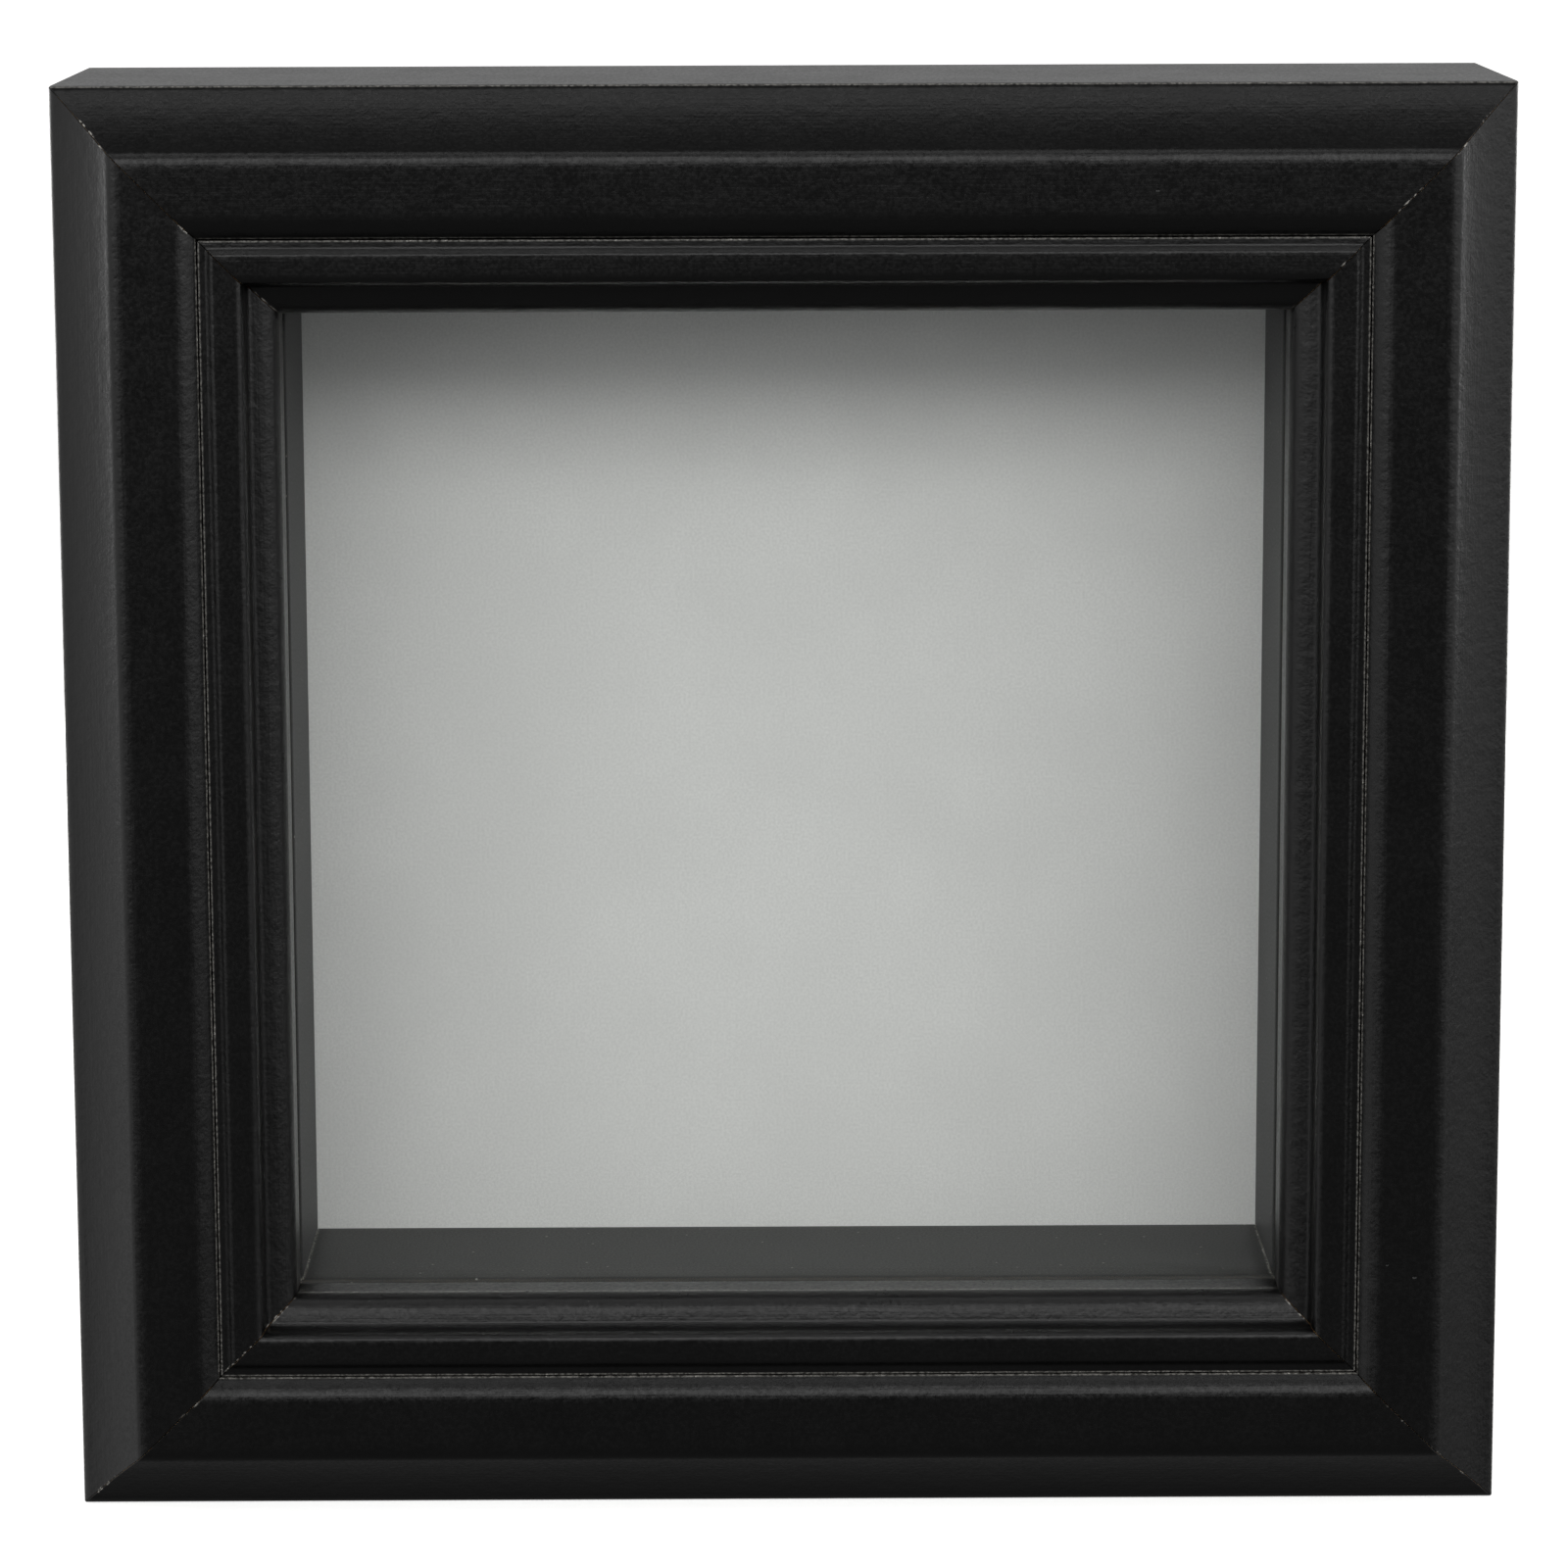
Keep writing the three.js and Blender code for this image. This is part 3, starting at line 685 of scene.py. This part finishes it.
# %% Section of a rail
ARRIS, OGEE_RUN, OGEE_RISE = 1.0, 11.8, 11.0
CREST_START, CREST_END, QUIRK_RISE = 15.6, 24.0, 9.8
REAR_CHAMFER = 1.2
SPRAY_EDGE = 0.1
OGEE = OGEE_RUN - ARRIS
rail_outline = [
    (0, ARRIS),
    *curve([(0, ARRIS), (0, 0), (ARRIS, -0.75 * ARRIS)], 5),
    *curve([
        (ARRIS, -0.75 * ARRIS), (ARRIS + 0.3 * OGEE, -0.25 * OGEE_RISE),
        (ARRIS + 0.72 * OGEE, -0.63 * OGEE_RISE), (OGEE_RUN, -OGEE_RISE),
    ], 18),
    *curve([
        (OGEE_RUN, -OGEE_RISE), (OGEE_RUN + 0.25 * (CREST_START - OGEE_RUN), -CREST_RISE),
        (CREST_START, -CREST_RISE),
    ], 8),
    *curve([(CREST_START, -CREST_RISE), (CREST_END, -CREST_RISE)], 5),
    *curve([
        (CREST_END, -CREST_RISE), ((CREST_END + MOULDING_WIDTH) / 2, -CREST_RISE),
        (MOULDING_WIDTH, -QUIRK_RISE),
    ], 10),
    (MOULDING_WIDTH, SEAT_DEPTH),
    (REBATE_INSET, SEAT_DEPTH),
    (REBATE_INSET, LEDGE_DEPTH),
    (REAR_WALL, LEDGE_DEPTH),
    (REAR_WALL, FRAME_DEPTH),
    (REAR_CHAMFER, FRAME_DEPTH),
    (0, FRAME_DEPTH - REAR_CHAMFER),
]
RAIL_ARRISES = [(0.1, 0.1), (MOULDING_WIDTH, -QUIRK_RISE), (0.3, FRAME_DEPTH - 0.3)]
rail_section = spread(eased(rail_outline, 0.25), 2.0)


def is_sprayed(here, there):
    """Whether a stretch of the rail's section is in the spray: its face, quirk and outer side."""
    run, depth = (here + there) / 2
    return run < REAR_CHAMFER or (depth < SEAT_DEPTH - SPRAY_EDGE and run < MOULDING_WIDTH + SPRAY_EDGE)


rail_slots = [0 if is_sprayed(here, there) else 1 for here, there in stretches(rail_section)]
print(len(rail_section), "points round a rail's section,", rail_slots.count(0), "stretches lacquered")

# %% What is cut from a rail
NAIL_LEG, NAIL_THICKNESS, NAIL_DEPTH = 7.0, 0.6, 10.0
NAIL_INSETS = {"outer": 3.5, "inner": 11.5}
NAIL_SLOT = 0.15
NAIL_BACK = FRAME_DEPTH - 0.3
SHANK, SCREW_LENGTH, SCREW_POINT = 1.5, 12.0, 3.0
PILOT_RADIUS, PILOT_PAST_POINT, PILOT_LENGTH = SHANK + 0.05, 0.4, SCREW_LENGTH + 6
DENT_STANDOFF = 0.55
PIVOT_INSET = REBATE_INSET - (REBATE_INSET - REAR_WALL) / 2
CUT_SLOTS = [LACQUER, OBECHE]


def nail_outline(inset, grow):
    """A V-nail across the top right mitre, seen from the back, in mm right of and above the middle."""
    outer = HALF - inset + grow
    inner = outer - NAIL_THICKNESS - 2 * grow
    end = HALF - inset - NAIL_LEG - grow
    corners = [(outer, outer), (end, outer), (end, inner), (inner, inner), (inner, end), (outer, end)]
    return eased(corners, 0.25 + grow)


def nail_slot(corner, inset):
    """The slot that a V-nail sits in, at one of the four corners."""
    outline = nail_outline(inset, NAIL_SLOT)
    levels = [(outline, NAIL_BACK - NAIL_DEPTH - NAIL_SLOT), (outline, FRAME_DEPTH + 1)]
    return loft("slot", placed(corner, levels), CUT_SLOTS, slots=[1] * len(outline))


def centre_of(node):
    """The middle of a node's box, with Y at its front."""
    low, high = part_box(node)
    return Vector(((low.x + high.x) / 2, low.y, (low.z + high.z) / 2))


def pilot_hole(screw_node):
    """The hole a screw's shank turns into, open to the back."""
    start = centre_of(screw_node) - Vector((0, PILOT_PAST_POINT, 0)) * MM
    profile = [(PILOT_RADIUS, 0), (PILOT_RADIUS, PILOT_LENGTH)]
    return revolve("pilot", start, profile, OBECHE, sides=20)


def dent(turn, along, run, rise, radius):
    """A small round cutter, a little less than half of it sunk into the moulding's face."""
    centre = place(turn, along, -rise - DENT_STANDOFF * radius, HALF - run)
    shape = bmesh.new()
    bmesh.ops.create_icosphere(shape, subdivisions=2, radius=radius * MM)
    bmesh.ops.translate(shape, verts=shape.verts, vec=centre)
    return written(shape, bpy.data.meshes.new("dent"))


# a set nail head and two knocks: side, place along it, in from the outer face, height there, radius
DENTS = [
    (0, 72.0, 20.0, CREST_RISE, 0.55), (1, 93.5, 18.0, CREST_RISE, 0.6), (1, 91.0, 23.5, CREST_RISE, 0.4),
]

# %% Rails
for turn, side in enumerate(SIDES):
    rail = mitred_strip(f"moulding_{side}", rail_section, turn, [LACQUER, OBECHE], rail_slots)
    cutters = [nail_slot(corner % 4, inset) for corner in (turn, turn + 3) for inset in NAIL_INSETS.values()]
    cutters.append(pilot_hole(f"button_screw_{side}"))
    if side in ("left", "right"):
        cutters.append(pilot_hole(f"hanger_screw_{side}"))
    cutters += [dent(*knock) for knock in DENTS if knock[0] == turn]
    rail = cut(rail, cutters)
    mark(rail, turn, RAIL_ARRISES)
    add_piece(f"moulding_{side}", rail, "frame", "black_painted_wood", f"rail_{side}")
    print(side, "moulding:", len(rail.polygons), "faces")

# %% [markdown]
# ## Bead
#
# The bead is a separate small moulding dropped in from behind. Beside the quirk it has a little flat, swells
# to a flat crest, rolls over a round nose down to a narrow cove, and ends in a second, lower round that turns
# in to the lip.

# %% Bead
FILLET, SWELL, BEAD_CREST, NOSE, COVE, RIDGE = 1.2, 1.9, 3.4, 2.3, 1.2, 1.1
FILLET_RISE, BEAD_CREST_RISE, NOSE_DROP = 10.0, 10.9, 2.7
COVE_RISE, RIDGE_RISE, LIP_RISE = 5.6, 5.2, 0.8
FLUSH = 0.01
flat_end = BEAD_INSET + FILLET
crest_from = flat_end + SWELL
crest_to = crest_from + BEAD_CREST
riser = crest_to + NOSE
cove_end = riser + COVE
ridge_run = cove_end + RIDGE
bead_outline = [
    (BEAD_INSET, BEAD_BACK),
    (BEAD_INSET, -FILLET_RISE),
    (flat_end, -FILLET_RISE),
    *curve([
        (flat_end, -FILLET_RISE), (flat_end + 0.4 * SWELL, -FILLET_RISE),
        (flat_end + 0.6 * SWELL, -BEAD_CREST_RISE), (crest_from, -BEAD_CREST_RISE),
    ], 8),
    (crest_to, -BEAD_CREST_RISE),
    *curve([
        (crest_to, -BEAD_CREST_RISE), (riser, -BEAD_CREST_RISE), (riser, NOSE_DROP - BEAD_CREST_RISE),
    ], 10),
    *curve([
        (riser, NOSE_DROP - BEAD_CREST_RISE), (riser, -0.8 * COVE_RISE - 0.2 * BEAD_CREST_RISE),
        (riser + 0.25 * COVE, -COVE_RISE - 0.2), (cove_end, -COVE_RISE),
    ], 8),
    *curve([(cove_end, -COVE_RISE), (ridge_run, -RIDGE_RISE)], 2),
    *curve([
        (ridge_run, -RIDGE_RISE), ((ridge_run + LIP_INSET) / 2, 0.7 - RIDGE_RISE),
        (LIP_INSET, 1.2 * LIP_RISE - 0.8 * RIDGE_RISE), (LIP_INSET, -LIP_RISE),
    ], 12),
    (LIP_INSET, BEAD_BACK),
]
BEAD_ARRISES = [(BEAD_INSET, -FILLET_RISE), (LIP_INSET, -LIP_RISE)]
bead_section = spread(eased(bead_outline, 0.2), 1.6)
bead_slots = [int(min(here.y, there.y) > BEAD_BACK - FLUSH) for here, there in stretches(bead_section)]
for turn, side in enumerate(SIDES):
    bead = mitred_strip(f"bead_strip_{side}", bead_section, turn, [LACQUER, OBECHE], bead_slots)
    mark(bead, turn, BEAD_ARRISES)
    add_piece(f"bead_strip_{side}", bead, "frame", "black_painted_wood", f"bead_{side}")
print("bead:", len(bead_section), "points round its section")

# %% [markdown]
# ## Spacer walls
#
# Four thin strips, painted flat black, stand between the glass and the back and make the walls of the
# display space. Their mitres show, and the inner front edge is rounded.

# %% Spacer walls
WALL_EASE = 1.5
wall_outline = [
    (WALL_INSET, WALL_FRONT),
    (WALL_INSET, WALL_BACK),
    (WALL_INNER, WALL_BACK),
    (WALL_INNER, WALL_FRONT + WALL_EASE),
    *curve([
        (WALL_INNER, WALL_FRONT + WALL_EASE), (WALL_INNER, WALL_FRONT), (WALL_INNER - WALL_EASE, WALL_FRONT),
    ], 8),
]
wall_section = spread(eased(wall_outline, 0.2), 2.0)
for turn, side in enumerate(SIDES):
    wall = mitred_strip(f"wall_{side}", wall_section, turn, [FLAT_BLACK])
    mark(wall, turn, [(WALL_INNER, WALL_FRONT), (WALL_INNER, WALL_BACK)])
    add_piece(f"wall_{side}", wall, "frame", "black_spacer", f"spacer_{side}")
print("walls:", len(wall_section), "points round the section")

# %% [markdown]
# ## Glass, lining and hardboard
#
# Three square sheets fill the rebate. Float glass is dead flat, the paper lining has a faint cockle, and the
# hardboard isn't quite flat. Each is a bevelled plate, sliced into a grid where it has to bend.

# %% Sheets
def sheet(name, node, ease, cells, material, lift=None):
    """A square plate in its node's box: eased edges, a grid of cells, and its points lifted by a function."""
    low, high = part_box(node)
    shape = bmesh.new()
    bmesh.ops.create_cube(shape, size=1)
    size, middle = high - low, (low + high) / 2
    for vertex in shape.verts:
        vertex.co = Vector(a * b + c for a, b, c in zip(vertex.co, size, middle))
    bmesh.ops.bevel(
        shape, geom=shape.edges[:], offset=ease * MM, segments=2, profile=0.5, affect="EDGES",
    )
    for i in range(1, cells):
        for axis_index in (0, 2):
            spot = low.copy()
            spot[axis_index] += size[axis_index] * i / cells
            normal = Vector(1 if k == axis_index else 0 for k in range(3))
            everything = shape.verts[:] + shape.edges[:] + shape.faces[:]
            bmesh.ops.bisect_plane(shape, geom=everything, plane_co=spot, plane_no=normal)
    if lift:
        for vertex in shape.verts:
            vertex.co.y += lift(vertex.co.x / MM, vertex.co.z / MM) * MM
    mesh = written(shape, bpy.data.meshes.new(name))
    mesh.materials.append(material)
    return mesh


def cockle(x, z):
    """Paper's faint wave: up to 0.05 mm back, over 35 mm."""
    return 0.05 * (0.5 + 0.5 * noise.noise(Vector((x / 35, 0, z / 35))))


def uneven(x, z):
    """Hardboard's unevenness: up to 0.1 mm back, over 60 mm."""
    return 0.1 * (0.5 + 0.5 * noise.noise(Vector((x / 60, 5, z / 60))))


add_piece("pane", sheet("pane", "glass", 0.25, 1, GLASS), "frame", "picture_glass", "glass", sharp=10)
lining_mesh = sheet("lining_sheet", "lining", 0.08, 48, PAPER, cockle)
add_piece("lining_sheet", lining_mesh, "back", "lining_paper", "lining", sharp=20)
board_mesh = sheet("hardboard_back", "back_panel", 0.4, 24, HARDBOARD, uneven)
add_piece("hardboard_back", board_mesh, "back", "hardboard", "back_panel", sharp=20)

# %% [markdown]
# ## Screws
#
# All six are pointed wood screws with a cross recess. The thread is a real helix: each ring's radius depends
# on the angle, so the ridge climbs one pitch in each turn. A pan head sits on its turn button, and a
# countersunk head lies flush in the hanger's strap.

# %% Screws
PLATED = "zinc_plated_steel"
PITCH_MM = 1.25
THREAD_RINGS = 5
CORE = 0.68
POINT_RADIUS, THREAD_SLOPE, BARE_NECK = 0.03, 1.6, 1.2


def threaded_shank():
    """Rings of (radius, depth) from the point up to the head, whose bearing face is at depth 0."""
    rings = [(POINT_RADIUS, -SCREW_LENGTH)]
    count = int((SCREW_LENGTH - BARE_NECK) / PITCH_MM * THREAD_RINGS)
    for i in range(1, count + 1):
        depth = -SCREW_LENGTH + i * PITCH_MM / THREAD_RINGS
        full = SHANK * min(1, (depth + SCREW_LENGTH) / SCREW_POINT)

        def ridge(share, depth=depth, full=full):
            phase = (depth / PITCH_MM + share) % 1
            return full * (CORE + (1 - CORE) * max(0, 1 - abs(2 * phase - 1) * THREAD_SLOPE))

        rings.append((ridge, depth))
    return rings


def cross_recess(centre, depth):
    """The cutter for a cross recess: a plus whose arms narrow as it goes in."""
    rings = []
    for d, arm, web in ((depth + 0.3, 1.9, 0.36), (depth - 0.5, 1.25, 0.3), (depth - 1.5, 0.35, 0.22)):
        quarter = [(web, web), (web, arm), (-web, arm)]
        ring = []
        for k in range(4):
            c, s = math.cos(k * TURN), math.sin(k * TURN)
            ring += [centre + Vector((x * c - z * s, d, x * s + z * c)) * MM for x, z in quarter]
        rings.append(ring)
    return loft("recess", rings, [ZINC])


def wood_screw(name, node, head, head_top):
    """A screw whose head lists (radius, depth) from the bearing face outwards."""
    low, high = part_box(node)
    centre = Vector(((low.x + high.x) / 2, high.y - head_top * MM, (low.z + high.z) / 2))
    mesh = revolve(name, centre, [*threaded_shank(), (SHANK, head[0][1] - 0.6), *head], ZINC, sides=36)
    return cut(mesh, [cross_recess(centre, head_top)])


PAN_HEIGHT = 1.9
PAN_HEAD = [
    (SHANK, 0), (2.9, 0), (3.12, 0.08), (3.2, 0.25), (3.2, 0.8), (3.12, 1.1), (2.92, 1.4),
    (2.6, 1.63), (2.1, 1.79), (1.4, 1.87), (0.7, PAN_HEIGHT), (0.05, PAN_HEIGHT),
]
SUNK_HEAD = [(SHANK, -1.5), (2.85, -0.15), (2.95, -0.04), (2.9, 0), (1.5, 0), (0.05, 0)]
for side in SIDES:
    screw = wood_screw(f"panscrew_{side}", f"button_screw_{side}", PAN_HEAD, PAN_HEIGHT)
    add_piece(f"panscrew_{side}", screw, "frame", PLATED, f"button_screw_{side}")
for side in ("left", "right"):
    screw = wood_screw(f"sunkscrew_{side}", f"hanger_screw_{side}", SUNK_HEAD, 0)
    add_piece(f"sunkscrew_{side}", screw, "frame", PLATED, f"hanger_screw_{side}")

# %% [markdown]
# ## Turn buttons
#
# A turn button is blanked from strip with one blow. The punch rounds the edge on the side it enters and
# leaves the other side crisp. So the plate is a loft that goes round its own thickness: from the rounded
# outline at the back, under the front, to the hole and round again.

# %% Turn buttons
BUTTON_LENGTH, HEEL, TIP = 15.0, 5.0, 4.0
BUTTON_BORE = SHANK + 0.3
button_low, button_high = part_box("turn_button_top")
BUTTON_FRONT, BUTTON_BACK = depth_of(button_low.y), depth_of(button_high.y)


def button_outline(inset):
    """The tapered outline from its pivot along the strip, drawn in by `inset`."""
    lean = math.asin((HEEL - TIP) / BUTTON_LENGTH) / TURN
    heel = arc((0, 0), HEEL - inset, 1 - lean, 3 + lean, 26)
    tip = arc((BUTTON_LENGTH, 0), TIP - inset, -1 + lean, 1 - lean, 22)
    return heel + tip


def hole_outline(grow):
    """The hole, with a point in the direction of each point of the outline."""
    return [point.normalized() * (BUTTON_BORE + grow) for point in button_outline(0)]


button_rings = [
    (button_outline(0.42), BUTTON_BACK), (button_outline(0.15), BUTTON_BACK - 0.06),
    (button_outline(0.03), BUTTON_BACK - 0.2), (button_outline(0), BUTTON_BACK - 0.4),
    (button_outline(0), BUTTON_FRONT + 0.06), (button_outline(0.06), BUTTON_FRONT),
    (hole_outline(0.05), BUTTON_FRONT), (hole_outline(0), BUTTON_FRONT + 0.05),
    (hole_outline(0), BUTTON_BACK - 0.2), (hole_outline(0.2), BUTTON_BACK),
]
for turn, side in enumerate(SIDES):
    rings = placed(turn, button_rings, HALF - PIVOT_INSET)
    button = loft(f"turnbutton_{side}", rings, [ZINC], wrap=True)
    add_piece(f"turnbutton_{side}", button, f"button_{side}", PLATED, f"turn_button_{side}")
print("turn buttons reach", BUTTON_LENGTH + TIP, "mm from their pivots")

# %% [markdown]
# ## V-nails
#
# A V-nail is a folded strip of hard steel, sharpened in front. Pressed a little below the wood, it shows as a
# bright chevron in a dark slot.

# %% V-nails
corner_names = ("top_right", "bottom_right", "bottom_left", "top_left")
for turn, corner in enumerate(corner_names):
    for which, inset in NAIL_INSETS.items():
        full, thin = nail_outline(inset, 0), nail_outline(inset, -0.22)
        levels = [
            (thin, NAIL_BACK - NAIL_DEPTH), (full, NAIL_BACK - NAIL_DEPTH + 1.5),
            (full, NAIL_BACK - 0.08), (nail_outline(inset, -0.06), NAIL_BACK),
        ]
        name = f"vnail_{corner}_{which}"
        nail = loft(name, placed(turn, levels), [ZINC])
        add_piece(name, nail, "frame", PLATED, f"v_nail_{corner}_{which}")
print("V-nails:", 2 * len(corner_names))

# %% [markdown]
# ## Strap hangers
#
# Each hanger is a steel strap curled round the bar of a D-shaped ring and screwed to the side rail. Its
# section is swept up the plate and round the bar, and its lower end is round. The countersink is cut through
# afterwards. The ring is a round wire lofted along a closed path.

# %% Strap hangers
STRAP_WIDTH, STRAP_LENGTH, STRAP_THICKNESS = 9.0, 22.0, 1.2
WIRE, RING_HALF, RING_LENGTH, RING_CORNER = 1.25, 7.8, 15.0, 2.2
KNUCKLE = WIRE + 0.3 + STRAP_THICKNESS / 2
CURL = math.radians(292)
END_STEPS, PLATE_STEPS, CURL_STEPS, WIRE_SIDES = 14, 12, 32, 18
NARROWEST = 0.4
SINK_RADIUS = 3.3
strap_low, strap_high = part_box("hanger_strap_left")
STRAP_FRONT = depth_of(strap_low.y)
STRAP_MIDDLE = STRAP_FRONT + STRAP_THICKNESS / 2
BAR_Z = strap_high.z / MM - KNUCKLE - STRAP_THICKNESS / 2
BAR_DEPTH = STRAP_MIDDLE + KNUCKLE


def at(x, depth, z):
    """A place in metres from mm: right of the middle, behind the edge plane, and above the floor."""
    return Vector((x * MM, EDGE_Y + depth * MM, z * MM))


def strap_path():
    """(depth, height from the bar, angle of the outer side, half width) up the plate and round the bar."""
    r = STRAP_WIDTH / 2
    steps = [(0.02, NARROWEST)]
    for i in range(1, END_STEPS + 1):
        angle = i / END_STEPS * TURN
        steps.append((r - r * math.cos(angle), max(NARROWEST, r * math.sin(angle))))
    steps += [(r + (STRAP_LENGTH - r) * i / PLATE_STEPS, r) for i in range(1, PLATE_STEPS + 1)]
    path = [(STRAP_MIDDLE, s - STRAP_LENGTH, 0.0, width) for s, width in steps]
    for i in range(1, CURL_STEPS + 1):
        angle = CURL * i / CURL_STEPS
        path.append((BAR_DEPTH - KNUCKLE * math.cos(angle), KNUCKLE * math.sin(angle), angle, r))
    return path


def strap(name, x, node):
    """One strap, its bar at the given x, with its countersunk hole."""
    rings = []
    for depth, height, angle, width in strap_path():
        corners = [(sx * width, sy * STRAP_THICKNESS / 2) for sx, sy in ((-1, -1), (1, -1), (1, 1), (-1, 1))]
        ring = []
        for across, out in eased(corners, 0.28, 4):
            z = BAR_Z + height + out * math.sin(angle)
            ring.append(at(x + across, depth - out * math.cos(angle), z))
        rings.append(ring)
    mesh = loft(name, rings, [ZINC])
    hole = at(x, STRAP_FRONT, centre_of(node).z / MM)
    sink = [(1.8, -1), (1.8, 0), (SINK_RADIUS, STRAP_THICKNESS), (SINK_RADIUS, STRAP_THICKNESS + 1)]
    return cut(mesh, [revolve("sink", hole, sink, ZINC, sides=40)])


def ring_path():
    """The wire's centre line once round: the bar, a bend, a side, the bow, a side and a bend."""
    w, c = RING_HALF, RING_CORNER
    bar = [Vector((-w + c + (2 * w - 2 * c) * i / 12, 0)) for i in range(12)]
    right_bend = arc((w - c, -c), c, 1, 0, 10)
    right_side = [Vector((w, -c + (w - RING_LENGTH + c) * i / 6)) for i in range(1, 6)]
    bow = arc((0, w - RING_LENGTH), w, 0, -2, 48)
    left_side = [Vector((-w, w - RING_LENGTH + (RING_LENGTH - w - c) * i / 6)) for i in range(1, 6)]
    left_bend = arc((-w + c, -c), c, 2, 1, 10)
    return bar + right_bend + right_side + bow + left_side + left_bend[:-1]


def wire_ring(name, x):
    """The D-ring hanging from its bar."""
    path = ring_path()
    rings = []
    for i, point in enumerate(path):
        along = (path[(i + 1) % len(path)] - path[i - 1]).normalized()
        out = Vector((along.y, -along.x))
        ring = []
        for k in range(WIRE_SIDES):
            angle = 2 * math.pi * k / WIRE_SIDES
            spot = point + out * WIRE * math.cos(angle)
            ring.append(at(x + spot.x, BAR_DEPTH + WIRE * math.sin(angle), BAR_Z + spot.y))
        rings.append(ring)
    return loft(name, rings, [ZINC], wrap=True)


for side in ("left", "right"):
    x = centre_of(f"hanger_strap_{side}").x / MM
    strap_mesh, ring_mesh = strap(f"strap_{side}", x, f"hanger_screw_{side}"), wire_ring(f"dring_{side}", x)
    add_piece(f"strap_{side}", strap_mesh, "frame", PLATED, f"hanger_strap_{side}")
    add_piece(f"dring_{side}", ring_mesh, f"ring_{side}", PLATED, f"hanger_ring_{side}")
print("hanger bars at", round(BAR_Z, 1), "mm up and", round(BAR_DEPTH, 2), "mm behind the edge plane")

# %% [markdown]
# ## Bumpers
#
# Two rubber bumpers keep the frame off the wall. Each has a soft edge, a shallow dish with the gate mark in
# the middle, and a thin flash line where the mould parts.

# %% Bumpers
BUMPER_RADIUS = 6.0
for side in ("left", "right"):
    low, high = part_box(f"bumper_{side}")
    height = (high.y - low.y) / MM
    profile = [
        (0.05, 0), (5.7, 0), (BUMPER_RADIUS - 0.05, 0.25), (BUMPER_RADIUS - 0.08, 0.5),
        (BUMPER_RADIUS, 0.58), (BUMPER_RADIUS - 0.08, 0.66), (BUMPER_RADIUS - 0.15, height - 1.2),
        (5.6, height - 0.7), (5.25, height - 0.3), (4.8, height - 0.07), (4.4, height),
        (3.9, height - 0.06), (2.5, height - 0.3), (1.0, height - 0.36), (0.8, height - 0.3),
        (0.7, height - 0.12), (0.45, height - 0.08), (0.05, height - 0.1),
    ]
    stopper = revolve(f"stopper_{side}", centre_of(f"bumper_{side}"), profile, RUBBER, sides=56)
    add_piece(f"stopper_{side}", stopper, "frame", "rubber", f"bumper_{side}")
print("bumpers stand", round(height, 1), "mm high")
